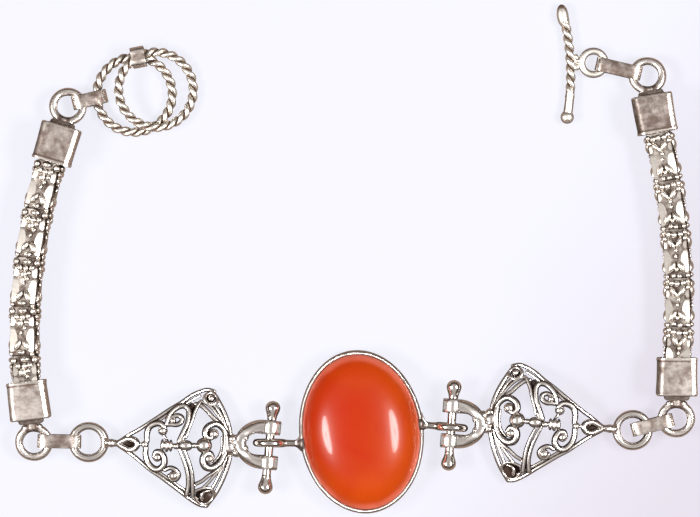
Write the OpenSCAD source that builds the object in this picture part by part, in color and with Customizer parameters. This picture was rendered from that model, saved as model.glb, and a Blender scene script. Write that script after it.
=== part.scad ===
// Carnelian bracelet, lying open and flat, in millimetres.
// The origin is the centre of the setting's flat back, +X runs along the wrist line, +Z is up.

/* [Stone] */
// Width of the oval cabochon
stone_w = 15; // [14.5:0.1:15.2]
// Length of the oval cabochon
stone_l = 20; // [19:0.5:21]
// Height of the dome above the bezel's rim
stone_dome = 3.6; // [3:0.1:4.2]
// Turn of the oval setting seen from above, in degrees
stone_turn = 7; // [4:1:10]

/* [Bezel] */
// Thickness of the bezel's wall
bezel_wall = 0.4; // [0.35:0.05:0.5]
// Height of the bezel's wall
bezel_h = 3; // [2.9:0.1:3.3]
// Thickness of the bezel's flat back
bezel_back = 0.5; // [0.4:0.1:0.7]
// Thickness of the round wire of the two eyes
eye_wire = 1; // [0.8:0.1:1]
// Radius of an eye's wire at its middle
eye_r = 1.69; // [1.65:0.01:1.75]

/* [Hinges] */
// Height of the two hinge pins above the surface
hinge_z = 2.3; // [2.25:0.05:2.4]
// Thickness of a pin's shaft
pin_d = 1.1; // [0.9:0.1:1.2]
// Thickness of a pin's bulb
bulb_d = 1.9; // [1.7:0.1:2]
// Length of a pin's bulb
bulb_l = 2.3; // [2.1:0.1:2.4]
// Width of a fork across its two ears
fork_w = 6.3; // [6.1:0.1:6.4]
// Gap between a fork's ears
fork_gap = 2.7; // [2.5:0.1:2.8]
// Length of a fork from its pin to its blunt tip
fork_l = 4.5; // [4.4:0.1:4.7]
// Height of a fork's flat bow
fork_h = 2; // [1.8:0.1:2.2]

/* [Filigree] */
// Length of the openwork fan from its tip to its base
fan_l = 14.5; // [14:0.1:14.8]
// Width of the fan across its two corners
fan_w = 15.1; // [14.6:0.1:15.3]
// Depth of the fan's curved base
fan_bulge = 3.1; // [2.8:0.1:3.3]
// Thickness of the fan's domed wire work
fan_t = 0.85; // [0.7:0.05:0.95]
// Radius of the dome that the wire work follows
dome_r = 15; // [14:0.5:17]
// Width of the scrolls' wire
scroll_w = 0.62; // [0.5:0.02:0.7]

/* [Rings and straps] */
// Thickness of the rings' round wire
ring_wire = 0.9; // [0.8:0.05:0.95]
// Radius of a cap's ring at the middle of its wire
cap_ring_r = 1.97; // [1.9:0.01:2.05]
// Radius of a fan's ring at the middle of its wire
fan_ring_r = 2.13; // [2.05:0.01:2.2]
// Width of the flat band that the straps are folded from
strap_w = 1.75; // [1.6:0.05:1.8]
// Thickness of that band
strap_t = 0.26; // [0.2:0.02:0.28]

/* [Chains] */
// Width of a cap's square box
cap_w = 5; // [4.9:0.05:5.2]
// Height of a cap's box
cap_h = 4.8; // [4.7:0.05:4.9]
// Length of a cap's box
cap_l = 4.9; // [4.6:0.1:5]
// Thickness of a cap's wall
cap_wall = 0.35; // [0.3:0.05:0.4]
// Downward tilt of a cap's ring, in degrees
ring_tilt = 10; // [8:1:11]
// Width of a chain link's square collar
collar_w = 3.5; // [3.4:0.05:3.6]
// Links in each chain, the last one half inside the lower cap
chain_links = 5; // [5:1:5]
// Distance from one link to the next
link_pitch = 6.25; // [6.2:0.01:6.3]
// Roll of the loose links about the chain, in degrees
link_roll = 10; // [0:1:12]

/* [Clasp] */
// Radius of the two rope rings at the middle of their rope
rope_ring_r = 4.84; // [4.8:0.01:4.9]
// Thickness of the twisted rope
rope_d = 1.22; // [1.1:0.02:1.24]
// Full twists round a rope ring
rope_twists = 14; // [12:1:16]
// Thickness of the toggle bar's end balls
bar_ball_d = 1.7; // [1.6:0.05:1.8]
// Radius of the toggle bar's ring at the middle of its wire
bar_ring_r = 1.54; // [1.5:0.01:1.6]
// Thickness of the wire of that ring
bar_ring_wire = 0.76; // [0.7:0.02:0.8]

/* [Hidden] */
$fn = 48;

// Clearances: stone in bezel, pin in fork, and the small overlap of soldered pieces
stone_gap = 0.05;
pin_gap = 0.05;
fuse = 0.15;

// Places seen from above, [x, y], and headings in degrees
left_hinge = [-11.75, -1.41];
right_hinge = [11.49, 0.61];
left_heading = 174.5;
right_heading = -4.2;
left_fork_shift = 0.28;
right_fork_shift = 0.48;
left_fan_tip = [-31.15, -1.5];
right_fan_tip = [30.9, 0.45];
left_fan_reach = 3.78;
right_fan_reach = 3.85;
left_fan_heading = -2.5;
right_fan_heading = 176;
left_lower_mouth = [-42.87, 6.44];
left_upper_mouth = [-39.67, 34.5];
right_lower_mouth = [40.37, 9.5];
right_upper_mouth = [37.9, 38.28];
left_lower_heading = -83;
left_upper_heading = 73.5;
right_lower_heading = -90.5;
right_upper_heading = 100;
lower_gap = 3;
left_upper_gap = 2.6;
right_upper_gap = 2.55;
left_chain_bend = 21;
right_chain_bend = -18;
under_ring_at = [-29.1, 43.2, 0.84];
over_ring_at = [-26.3, 43.8, 1.77];
bar_top = [25.74, 54.04];
bar_foot = [26.39, 40.3];
bar_ring_at = [29.75, 47.27];

// Heights
cap_z = cap_h / 2 + 0.02;
fan_ring_z = 1.5;
bar_z = bar_ball_d / 2;
bar_ring_z = 1;

function flat(lists) = [for (l = lists) each l];

// A closed skin through equal rings of points, each running anticlockwise about the way ahead
module skin(rings, closed = false) {
    n = len(rings[0]);
    m = len(rings);
    last = closed ? m - 1 : m - 2;
    sides = [for (j = [0:last], i = [0:n - 1])
        let (a = j * n + i, b = j * n + (i + 1) % n,
             d = ((j + 1) % m) * n + i, c = ((j + 1) % m) * n + (i + 1) % n)
        each [[a, d, c], [a, c, b]]];
    ends = closed ? [] : [[for (i = [0:n - 1]) i], [for (i = [n - 1:-1:0]) (m - 1) * n + i]];
    polyhedron(points = flat(rings), faces = concat(sides, ends), convexity = 8);
}

// Moves a piece to a place seen from above and turns it to a heading
module placed(at, z, heading) {
    translate([at[0], at[1], z]) rotate([0, 0, heading]) children();
}

// A ring of round wire lying flat
module wire_ring(r, wire) {
    rotate_extrude() translate([r, 0]) circle(d = wire);
}

// A rod of round wire along X
module rod(x0, x1, d) {
    translate([x0, 0, 0]) rotate([0, 90, 0]) cylinder(d = d, h = x1 - x0);
}

// A rectangle with round corners, centred
module rounded_box(w, h, r) {
    square([w - 2 * r, h], center = true);
    square([w, h - 2 * r], center = true);
    for (x = [-1, 1], y = [-1, 1]) translate([x * (w / 2 - r), y * (h / 2 - r)]) circle(r);
}

// The oval of the setting
oval_sides = 72;
function oval(w, l) = [for (i = [0:oval_sides - 1])
    [w / 2 * cos(i * 360 / oval_sides), l / 2 * sin(i * 360 / oval_sides)]];

// Cabochon with a short straight girdle and a smooth dome
stone_steps = 9;
girdle_h = 1.9;
module stone_body() {
    foot = bezel_back + stone_gap;
    dome_h = bezel_h - foot - girdle_h + stone_dome;
    levels = concat([[1, foot]], [for (i = [0:stone_steps])
        let (t = 86 * i / stone_steps)
        [pow(cos(t), 0.86), foot + girdle_h + dome_h * sin(t)]]);
    rotate([0, 0, stone_turn])
        skin([for (v = levels) [for (p = oval(stone_w, stone_l)) [p[0] * v[0], p[1] * v[0], v[1]]]]);
}

module carnelian_stone() {
    color([0.84, 0.27, 0.08]) stone_body();
}

// An eye stands on edge round the hinge pin, with a stem that flares towards the bezel
module eye(reach) {
    rotate([90, 0, 0]) wire_ring(eye_r, eye_wire);
    rotate([0, 0, 180]) {
        rod(eye_r, reach, eye_wire);
        translate([reach - 1.6, 0, 0]) rotate([0, 90, 0]) cylinder(d1 = eye_wire, d2 = 2 * eye_wire, h = 1.6);
    }
}

module bezel_setting() {
    outer = 2 * (bezel_wall + stone_gap);
    color([0.8, 0.78, 0.75]) difference() {
        union() {
            rotate([0, 0, stone_turn]) linear_extrude(bezel_h)
                polygon(oval(stone_w + outer, stone_l + outer));
            placed(left_hinge, hinge_z, 179) eye(4.25);
            placed(right_hinge, hinge_z, -4.5) eye(4.05);
        }
        translate([0, 0, bezel_back]) rotate([0, 0, stone_turn]) linear_extrude(2 * bezel_h)
            polygon(oval(stone_w + 2 * stone_gap, stone_l + 2 * stone_gap));
    }
}

// A loose pin along Y with a bulb at each end
module hinge_pin(y0, y1) {
    r = bulb_d / 2;
    color([0.82, 0.8, 0.77]) {
        translate([0, y0 + r, 0]) rotate([-90, 0, 0]) cylinder(d = pin_d, h = y1 - y0 - 2 * r);
        for (y = [y0, y1 - bulb_l]) {
            translate([0, y + r, 0]) rotate([-90, 0, 0]) cylinder(r = r, h = bulb_l - 2 * r);
            for (c = [y + r, y + bulb_l - r]) translate([0, c, 0]) sphere(r);
        }
    }
}

// Fork outline seen from above: straight ears at -X, running into a blunt point at +X
ear_x = 0.9;
function fork_outline() = concat([[-1.2, fork_w / 2]],
    [for (t = [0:10:180]) [ear_x + (fork_l - ear_x) * sin(t), fork_w / 2 * sign(cos(t)) * pow(abs(cos(t)), 1.1)]],
    [[-1.2, -fork_w / 2]]);

knuckle_r = 1.27;
gap_round_x = 1.65;
module fork(shift) {
    difference() {
        translate([0, shift, 0]) {
            linear_extrude(fork_h, center = true) polygon(fork_outline());
            rotate([90, 0, 0]) cylinder(r = knuckle_r, h = fork_w - 0.1, center = true);
        }
        translate([0, shift, 0]) linear_extrude(2 * fork_h, center = true) {
            translate([gap_round_x, 0]) circle(d = fork_gap);
            translate([-2 * knuckle_r, -fork_gap / 2]) square([2 * knuckle_r + gap_round_x, fork_gap]);
        }
        rotate([90, 0, 0]) cylinder(d = pin_d + 2 * pin_gap, h = 3 * fork_w, center = true);
    }
}

// Fan pattern seen from above: x runs from the tip to the base, y across
base_r = (pow(fan_bulge, 2) + pow(fan_w / 2, 2)) / (2 * fan_bulge);
base_x = fan_l - base_r;
corner_x = fan_l - fan_bulge;
corner_angle = asin(fan_w / 2 / base_r);
corner = [corner_x, fan_w / 2];

function arc(c, r0, r1, a0, a1, n) = [for (i = [0:n])
    let (t = i / n, r = r0 + (r1 - r0) * t, a = a0 + (a1 - a0) * t) [c[0] + r * cos(a), c[1] + r * sin(a)]];
function dir(path, i) = let (a = path[max(i - 1, 0)], b = path[min(i + 1, len(path) - 1)]) (b - a) / norm(b - a);
function side(path, w, s) = [for (i = [0:len(path) - 1])
    path[i] + s * w / 2 * [-dir(path, i)[1], dir(path, i)[0]]];

// A flat wire along a path
module wire(path, w) {
    left = side(path, w, 1);
    right = side(path, w, -1);
    polygon(concat(left, [for (i = [len(right) - 1:-1:0]) right[i]]));
}

// One half of the pattern: rails, scrolls, ribs and the corner's eye
round_off = 0.12;
module fan_half() {
    thin = scroll_w - 2 * round_off;
    rail = thin + 0.2;
    wire([[0, 0.25], [4, 2.9], [8, 5.55], corner], rail);
    wire(arc([base_x, 0], base_r - 0.3, base_r - 0.3, 0, corner_angle, 12), rail);
    // scroll that opens towards the base
    wire(arc([5.45, 1.75], 1.25, 1.2, 205, 60, 10), thin);
    wire(arc([5.45, 1.75], 1.2, 0.55, 60, -140, 12), thin);
    wire([[3.8, 0], [4.02, 0.7], [4.32, 1.25]], thin);
    // small scroll under the slanted rail
    wire(arc([7.2, 3.55], 0.95, 0.4, 100, -170, 12), thin);
    // rib from the spine to the rail
    wire([[7.7, 0.1], [8.5, 1.6], [9.05, 3.3], [9.3, 5], [9.35, 6.2]], thin + 0.15);
    // rail from the rib to the scroll at the base
    wire([[9.4, 5.9], [10.4, 5.3], [12, 4], [12.9, 2.8]], thin);
    // scroll at the base, curling back towards the spine
    wire(arc([9.6, 0], 4.1, 4.1, 0, 40, 8), thin);
    wire(arc([11.75, 1.9], 1.15, 0.5, 50, 290, 12), thin);
    // eye in the corner
    difference() {
        translate([corner_x - 0.45, fan_w / 2 - 1.4]) circle(1.15, $fn = 24);
        translate([corner_x - 0.45, fan_w / 2 - 1.4]) circle(0.62, $fn = 16);
    }
}

// Teardrop behind the tip, then the beads of the spine
diamond_x = 8.35;
bead_x = 11.1;
module fan_spine() {
    difference() {
        polygon([for (a = [0:15:345]) [1.45 + 1.45 * cos(a), 1.05 * sin(a) * (1 + 0.25 * cos(a))]]);
        translate([1.75, 0]) polygon([for (a = [0:30:330]) [0.75 * cos(a), 0.52 * sin(a)]]);
    }
    wire([[2.4, 0], [4.2, 0]], 0.4);
    translate([3.7, 0]) circle(0.42, $fn = 20);
    wire([[5.9, 0], [12, 0]], 0.3);
    translate([6.35, 0]) square([0.8, 1.1], center = true);
    polygon([for (a = [0:30:330]) [diamond_x + 0.75 * cos(a), 0.75 * sin(a)]]);
    translate([bead_x, 0]) circle(0.75, $fn = 24);
    wire([[bead_x, 0.5], [bead_x + 1.1, 1]], 0.3);
    wire([[bead_x, -0.5], [bead_x + 1.1, -1]], 0.3);
}

module fan_pattern() {
    offset(r = round_off, $fn = 12) {
        fan_half();
        mirror([0, 1]) fan_half();
        fan_spine();
    }
}

// The pattern follows a twelve-sided dome whose crown is nearer the tip, and stands on its two corners
crown_x = 7.5;
foot_reach = 9;
// Taller than the dome's crown
pattern_h = 6;
dome_low = -sqrt(pow(dome_r - fan_t / 2, 2) - pow(foot_reach, 2));
dome_steps = [0, 3.2, 5.6, 7.8, 10.4];
function dome_z(r, t) = dome_low + sqrt(pow(dome_r + t, 2) - r * r);

module dome_shell() {
    above = [for (r = dome_steps) [r, dome_z(r, fan_t / 2)]];
    below = [for (r = dome_steps) [r, dome_z(r, -fan_t / 2)]];
    rotate([0, 0, 7.5]) rotate_extrude($fn = 12)
        polygon(concat(above, [for (i = [len(below) - 1:-1:0]) below[i]]));
}

module fan() {
    intersection() {
        linear_extrude(pattern_h) fan_pattern();
        translate([crown_x, 0, 0]) dome_shell();
    }
    // raised beads of the spine
    translate([bead_x, 0, dome_z(bead_x - crown_x, 0.25)]) sphere(0.86);
    translate([diamond_x, 0, dome_z(diamond_x - crown_x, 0.2)]) sphere(0.72);
}

// Ring, small ball and square neck at the fan's tip
neck_w = 0.8;
neck_h = 0.7;
module fan_neck(reach) {
    ball_x = -reach + fan_ring_r + 0.75;
    translate([-reach, 0, fan_ring_z]) wire_ring(fan_ring_r, ring_wire);
    translate([ball_x, 0, fan_ring_z]) rotate([0, 0, 90]) sphere(d = 1.2);
    translate([ball_x, -neck_w / 2, fan_ring_z - neck_h / 2]) cube([2 * fuse - ball_x, neck_w, neck_h]);
}

solder_x = 4;
module filigree_link(hinge, heading, shift, tip, fan_heading, reach) {
    color([0.76, 0.74, 0.71]) {
        placed(hinge, hinge_z, heading) {
            fork(shift);
            translate([solder_x, shift, -0.15]) sphere(1.05);
        }
        placed(tip, 0, fan_heading) {
            fan();
            fan_neck(reach);
            // solder between the fork and the curved base
            translate([fan_l - 0.45, 0, 1.95]) sphere(0.95);
        }
    }
}

// A flat band folded to a closed loop, its length along X
module strap(l, h, corner) {
    color([0.79, 0.76, 0.72]) rotate([90, 0, 0]) linear_extrude(strap_w, center = true) difference() {
        rounded_box(l, h, corner);
        rounded_box(l - 2 * strap_t, h - 2 * strap_t, corner - strap_t);
    }
}

// A strap from one ring's wire to the next, turned to a heading and sloping down by an angle;
// its ends are half-round unless a corner radius is given
module sloped_strap(at, heading, slope, l, h, corner = 0) {
    placed(at, at[2], heading) rotate([0, slope, 0]) strap(l, h, corner > 0 ? corner : h / 2 - 0.01);
}

// Square cap along X: open mouth at the origin, then shoulder, neck and ring
cap_round = 0.9;
shoulder_l = 0.6;
neck_d = 1.4;
bar_d = 0.6;
link_hook = 1.75;
module cap_box(ring_gap) {
    rotate([90, 0, 90]) {
        difference() {
            union() {
                linear_extrude(cap_l) rounded_box(cap_w, cap_h, cap_round);
                linear_extrude(0.55) rounded_box(cap_w + 0.16, cap_h + 0.04, cap_round);
            }
            translate([0, 0, -1]) linear_extrude(cap_l + 0.6)
                rounded_box(cap_w - 2 * cap_wall, cap_h - 2 * cap_wall, cap_round - cap_wall);
        }
        translate([0, 0, cap_l - fuse]) linear_extrude(shoulder_l + fuse) rounded_box(3.3, 2.2, 0.4);
    }
    translate([cap_l, 0, 0]) rotate([0, ring_tilt, 0]) {
        translate([ring_gap, 0, 0]) wire_ring(cap_ring_r, ring_wire);
        rod(shoulder_l - fuse, ring_gap - cap_ring_r, neck_d);
    }
}

// The lower cap takes half of the last link and holds it by a pin across its mouth
pin_depth = 1.2;
module pinned_cap(at, heading, ring_gap) {
    color([0.78, 0.75, 0.71]) placed(at, cap_z, heading) {
        cap_box(ring_gap);
        translate([pin_depth, 0, 0]) rotate([90, 0, 0])
            cylinder(d = bar_d, h = cap_w - cap_wall, center = true);
    }
}

// The upper cap reaches into the first link with an eye of its own
module eyed_cap(at, heading, ring_gap) {
    color([0.78, 0.75, 0.71]) placed(at, cap_z, heading) {
        cap_box(ring_gap);
        translate([-link_space / 2, 0, 0]) rotate([0, 0, 180]) hook_eye(cap_l + link_space / 2);
    }
}

// Square chain links
chain_z = cap_z;
link_space = 0.3;
hollow_w = collar_w - 1;
eye_t = 0.6;
eye_gap = 0.17;
eye_h = bar_d + 2 * eye_gap + 2 * 0.36;

// A flat eye standing on edge, reaching along X from its root to a bar at +link_hook
module hook_eye(root) {
    rotate([90, 0, 0]) linear_extrude(eye_t, center = true) difference() {
        union() {
            translate([link_hook, 0]) circle(d = eye_h);
            translate([-root + 0.3, -eye_h / 2]) square([link_hook + root - 0.3, eye_h]);
        }
        translate([link_hook, 0]) circle(d = bar_d + 2 * eye_gap);
        translate([link_hook - 0.5, 0]) circle(d = bar_d + 2 * eye_gap);
        translate([link_hook - 0.5, -bar_d / 2 - eye_gap]) square([0.5, bar_d + 2 * eye_gap]);
    }
}

// A link's square collar with flowers on its four faces, leaves on its corners and a bar for the eye before it
link_l = link_pitch - link_space;
flower_r = 1.05;
flower_x = -1.7;
leaf_l = 3.3;
leaf_w = 1.3;
leaf_x = 1.1;
module link_collar() {
    rotate([90, 0, 90]) translate([0, 0, -link_l / 2]) linear_extrude(link_l) difference() {
        rounded_box(collar_w, collar_w, 0.7);
        rounded_box(hollow_w, hollow_w, 0.3);
    }
    for (a = [0:90:270]) rotate([a, 0, 0]) {
        translate([flower_x, 0, collar_w / 2 - fuse]) cylinder(r = flower_r, h = 0.3 + fuse);
        translate([flower_x, 0, collar_w / 2 + 0.02]) sphere(0.48, $fn = 24);
        rotate([45, 0, 0]) translate([leaf_x, 0, 1.65]) linear_extrude(0.45)
            polygon([[-leaf_l / 2, 0], [0, -leaf_w / 2], [leaf_l / 2, 0], [0, leaf_w / 2]]);
    }
    translate([-link_l / 2 + link_hook, 0, 0]) rotate([90, 0, 0])
        cylinder(d = bar_d, h = collar_w - 0.5, center = true);
}

// A loose link also has an eye of its own, on a bridge
module loose_link() {
    link_collar();
    translate([link_l / 2 - 0.5, 0, 0]) cube([0.7, 0.8, hollow_w + 0.4], center = true);
    translate([link_l / 2 + link_space, 0, 0]) hook_eye(link_space + 0.5);
}

// The last link has a hole through both sides instead, with play round the cap's pin
pin_play = 0.3;
module last_link(hole_x) {
    difference() {
        link_collar();
        translate([hole_x, 0, 0]) rotate([90, 0, 0])
            cylinder(d = bar_d + 2 * pin_play, h = 2 * collar_w, center = true);
    }
}

// A chain bends gently between its caps' mouths, from the lower at p0 to the upper at p1
function chain_length(p0, p1, bend) = norm(p1 - p0) * bend * PI / 360 / sin(bend / 2);
function chain_heading(p0, p1, bend, t) = atan2(p1[1] - p0[1], p1[0] - p0[0]) + bend / 2 - bend * t;
function chain_point(p0, p1, bend, t) =
    let (r = chain_length(p0, p1, bend) / (bend * PI / 180),
         h0 = chain_heading(p0, p1, bend, 0), h = chain_heading(p0, p1, bend, t))
    [p0[0] + r * (sin(h0) - sin(h)), p0[1] + r * (cos(h) - cos(h0))];

// Its links are counted off from the upper mouth
module chain(p0, p1, bend) {
    l = chain_length(p0, p1, bend);
    color([0.7, 0.67, 0.63]) for (i = [0:chain_links - 1]) {
        down = (i + 0.5) * link_pitch;
        t = 1 - down / l;
        placed(chain_point(p0, p1, bend, t), chain_z, chain_heading(p0, p1, bend, t) + 180) {
            if (i < chain_links - 1) rotate([link_roll, 0, 0]) loose_link();
            else last_link(pin_depth + l - down);
        }
    }
}

// Two strands twisted together: the outline of the pair at an angle
strand_r = rope_d * 0.28;
strand_off = rope_d / 2 - strand_r;
rope_sides = 12;
rope_steps = 8;
function rope_outline(a) = strand_off * abs(cos(a)) + sqrt(pow(strand_r, 2) - pow(strand_off * sin(a), 2));
function rope_section(twist) = [for (k = [0:rope_sides - 1])
    let (a = k * 360 / rope_sides) rope_outline(a - twist) * [cos(a), sin(a)]];

module rope_ring() {
    n = rope_twists * rope_steps;
    skin([for (i = [0:n - 1]) let (a = i * 360 / n) [for (q = rope_section(a * rope_twists))
        [(rope_ring_r + q[0]) * cos(a), (rope_ring_r + q[0]) * sin(a), -q[1]]]], closed = true);
}

// The two rings lean on each other: each tilts by an angle towards a heading where it is lowest
module leaning(at, low, tilt) {
    translate(at) rotate([0, 0, low]) rotate([0, tilt, 0]) rotate([0, 0, -low]) children();
}

module clasp_ring_under() {
    color([0.77, 0.73, 0.68]) leaning(under_ring_at, -45, 2.2) rope_ring();
}

module clasp_ring_over() {
    color([0.8, 0.76, 0.71]) leaning(over_ring_at, 5.4, 13.2) rope_ring();
}

module clasp_ring_strap() {
    sloped_strap([-28.57, 47.95, 1.67], 101.3, 0, 2.65, 3.31, 0.8);
}

// Toggle bar, bowed a little, with a ball at each end and a ring at its middle
bar_bow = 24.8;
bar_twists = 6.5;
module toggle_bar() {
    n = 54;
    path = [for (i = [0:n]) chain_point(bar_top, bar_foot, bar_bow, i / n)];
    color([0.78, 0.75, 0.7]) {
        skin([for (i = [0:n])
            let (h = chain_heading(bar_top, bar_foot, bar_bow, i / n))
            [for (q = rope_section(i / n * bar_twists * 360))
                [path[i][0] + q[0] * sin(h), path[i][1] - q[0] * cos(h), bar_z - q[1]]]]);
        for (p = [bar_top, bar_foot]) translate([p[0], p[1], bar_z]) sphere(d = bar_ball_d);
        placed(bar_ring_at, bar_ring_z, 0) wire_ring(bar_ring_r, bar_ring_wire);
        translate([bar_ring_at[0], bar_ring_at[1], bar_ring_z - 0.05]) rod(-2.9, -bar_ring_r, 0.9);
    }
}

module left_hinge_pin() {
    placed(left_hinge, hinge_z, left_heading) hinge_pin(-5.4, 6.6);
}

module right_hinge_pin() {
    placed(right_hinge, hinge_z, right_heading) hinge_pin(-5.6, 6.05);
}

module left_filigree_link() {
    filigree_link(left_hinge, left_heading, left_fork_shift, left_fan_tip, left_fan_heading,
        left_fan_reach);
}

module right_filigree_link() {
    filigree_link(right_hinge, right_heading, right_fork_shift, right_fan_tip, right_fan_heading,
        right_fan_reach);
}

module left_lower_strap() {
    sloped_strap([-38.67, -1.23, 1.76], -1.5, 7.5, 5.6, 1.84);
}

module right_lower_strap() {
    sloped_strap([37.3, 0.87, 1.65], 14.8, -7.5, 5.57, 1.84);
}

module left_upper_strap() {
    sloped_strap([-34.81, 42.55, 1.36], 14, 12.3, 4.61, 2.15);
}

module right_upper_strap() {
    sloped_strap([32.97, 46.49, 1.52], -13.8, -9.3, 6, 1.85);
}

module left_lower_cap() {
    pinned_cap(left_lower_mouth, left_lower_heading, lower_gap);
}

module right_lower_cap() {
    pinned_cap(right_lower_mouth, right_lower_heading, lower_gap);
}

module left_upper_cap() {
    eyed_cap(left_upper_mouth, left_upper_heading, left_upper_gap);
}

module right_upper_cap() {
    eyed_cap(right_upper_mouth, right_upper_heading, right_upper_gap);
}

module left_chain() {
    chain(left_lower_mouth, left_upper_mouth, left_chain_bend);
}

module right_chain() {
    chain(right_lower_mouth, right_upper_mouth, right_chain_bend);
}

carnelian_stone();
bezel_setting();
left_hinge_pin();
left_filigree_link();
left_lower_strap();
left_lower_cap();
left_chain();
left_upper_cap();
left_upper_strap();
clasp_ring_under();
clasp_ring_over();
clasp_ring_strap();
right_hinge_pin();
right_filigree_link();
right_lower_strap();
right_lower_cap();
right_chain();
right_upper_cap();
right_upper_strap();
toggle_bar();
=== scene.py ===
"""Carnelian bracelet, lying open on a pale floor and seen from straight above.

Shapes are worked out in millimetres as whole numpy arrays and become metres when they are put into a mesh.
"""

import bpy
import numpy as np
from mathutils import Matrix, Vector


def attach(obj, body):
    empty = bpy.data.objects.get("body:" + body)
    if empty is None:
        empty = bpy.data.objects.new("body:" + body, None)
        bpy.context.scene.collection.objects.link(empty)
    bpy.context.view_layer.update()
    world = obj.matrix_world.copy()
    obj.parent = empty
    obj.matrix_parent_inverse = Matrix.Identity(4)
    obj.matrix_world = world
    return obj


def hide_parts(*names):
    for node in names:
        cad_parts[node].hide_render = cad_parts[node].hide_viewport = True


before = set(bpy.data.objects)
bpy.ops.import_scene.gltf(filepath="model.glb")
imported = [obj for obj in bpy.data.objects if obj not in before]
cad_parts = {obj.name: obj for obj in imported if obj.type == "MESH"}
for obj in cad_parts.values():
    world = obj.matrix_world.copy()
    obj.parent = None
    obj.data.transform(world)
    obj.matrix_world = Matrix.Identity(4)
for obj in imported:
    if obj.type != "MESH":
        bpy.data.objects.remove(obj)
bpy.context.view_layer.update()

MM = 0.001


# Curves and directions

def unit(v):
    """Vectors divided by their own lengths."""
    return v / np.maximum(np.linalg.norm(v, axis=-1, keepdims=True), 1e-12)


def ease(a, b, x):
    """Rises smoothly from 0 at a to 1 at b: 3t^2 - 2t^3, t being the share of the way from a to b."""
    t = np.clip((x - a) / (b - a), 0, 1)
    return t * t * (3 - 2 * t)


def circle(n):
    """n angles once round a circle, in radians."""
    return np.linspace(0, 2 * np.pi, n, endpoint=False)


def spline(points, n, closed=False):
    """Catmull-Rom curve of n points through the given ones, evenly spaced in the curve's own count."""
    p = np.asarray(points, float)
    p = np.vstack([p[-1], p, p[:2]]) if closed else np.vstack([2 * p[0] - p[1], p, 2 * p[-1] - p[-2]])
    t = np.linspace(0, len(p) - 3, n, endpoint=not closed)
    i = np.minimum(t.astype(int), len(p) - 4)
    f = (t - i)[:, None]
    a, b, c, d = p[i], p[i + 1], p[i + 2], p[i + 3]
    bend = (2 * a - 5 * b + 4 * c - d) * f ** 2
    return 0.5 * (2 * b + (c - a) * f + bend + (3 * b - a - 3 * c + d) * f ** 3)


def directions(path, closed=False, up=(0, 0, 1)):
    """Unit vectors at a path's points: ahead along it, sideways (ahead x up), and the rise square to both."""
    ahead = unit(np.roll(path, -1, 0) - np.roll(path, 1, 0) if closed else np.gradient(path, axis=0))
    side = unit(np.cross(ahead, np.asarray(up, float)))
    return ahead, side, np.cross(side, ahead)


def arc(start, end, bend, along):
    """Points and heading on an arc that turns by bend between two points, at shares of the way along it.

    With h the heading, h0 the one at the start and r the radius: start + r (sin h0 - sin h, cos h - cos h0).
    """
    chord = end - start
    h0 = np.arctan2(chord[1], chord[0]) + bend / 2
    length = np.linalg.norm(chord) * bend / 2 / np.sin(bend / 2)
    h = h0 - bend * along
    return start + length / bend * np.stack([np.sin(h0) - np.sin(h), np.cos(h) - np.cos(h0)], -1), h, length


def turn_z(angle):
    """Matrix that turns by an angle in degrees about the upright axis."""
    a = np.radians(angle)
    return np.array([[np.cos(a), -np.sin(a), 0], [np.sin(a), np.cos(a), 0], [0, 0, 1]])


def turn_y(angle):
    """Matrix that tips +X down by an angle in degrees."""
    a = np.radians(angle)
    return np.array([[np.cos(a), 0, np.sin(a)], [0, 1, 0], [-np.sin(a), 0, np.cos(a)]])


def turn_x(angle):
    """Matrix that rolls by an angle in degrees about X."""
    a = np.radians(angle)
    return np.array([[1, 0, 0], [0, np.cos(a), -np.sin(a)], [0, np.sin(a), np.cos(a)]])


def lumps(points, size, seed):
    """A slow uneven field between -1 and 1: two sine waves multiplied, a third added, and the sum halved."""
    k = np.random.default_rng(seed).normal(size=(3, 3)) / size
    w = np.sin(points @ k.T * 2 * np.pi + np.arange(3) * 1.7)
    return (w[..., 0] * w[..., 1] + w[..., 2]) / 2


# A shape in the making

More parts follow.
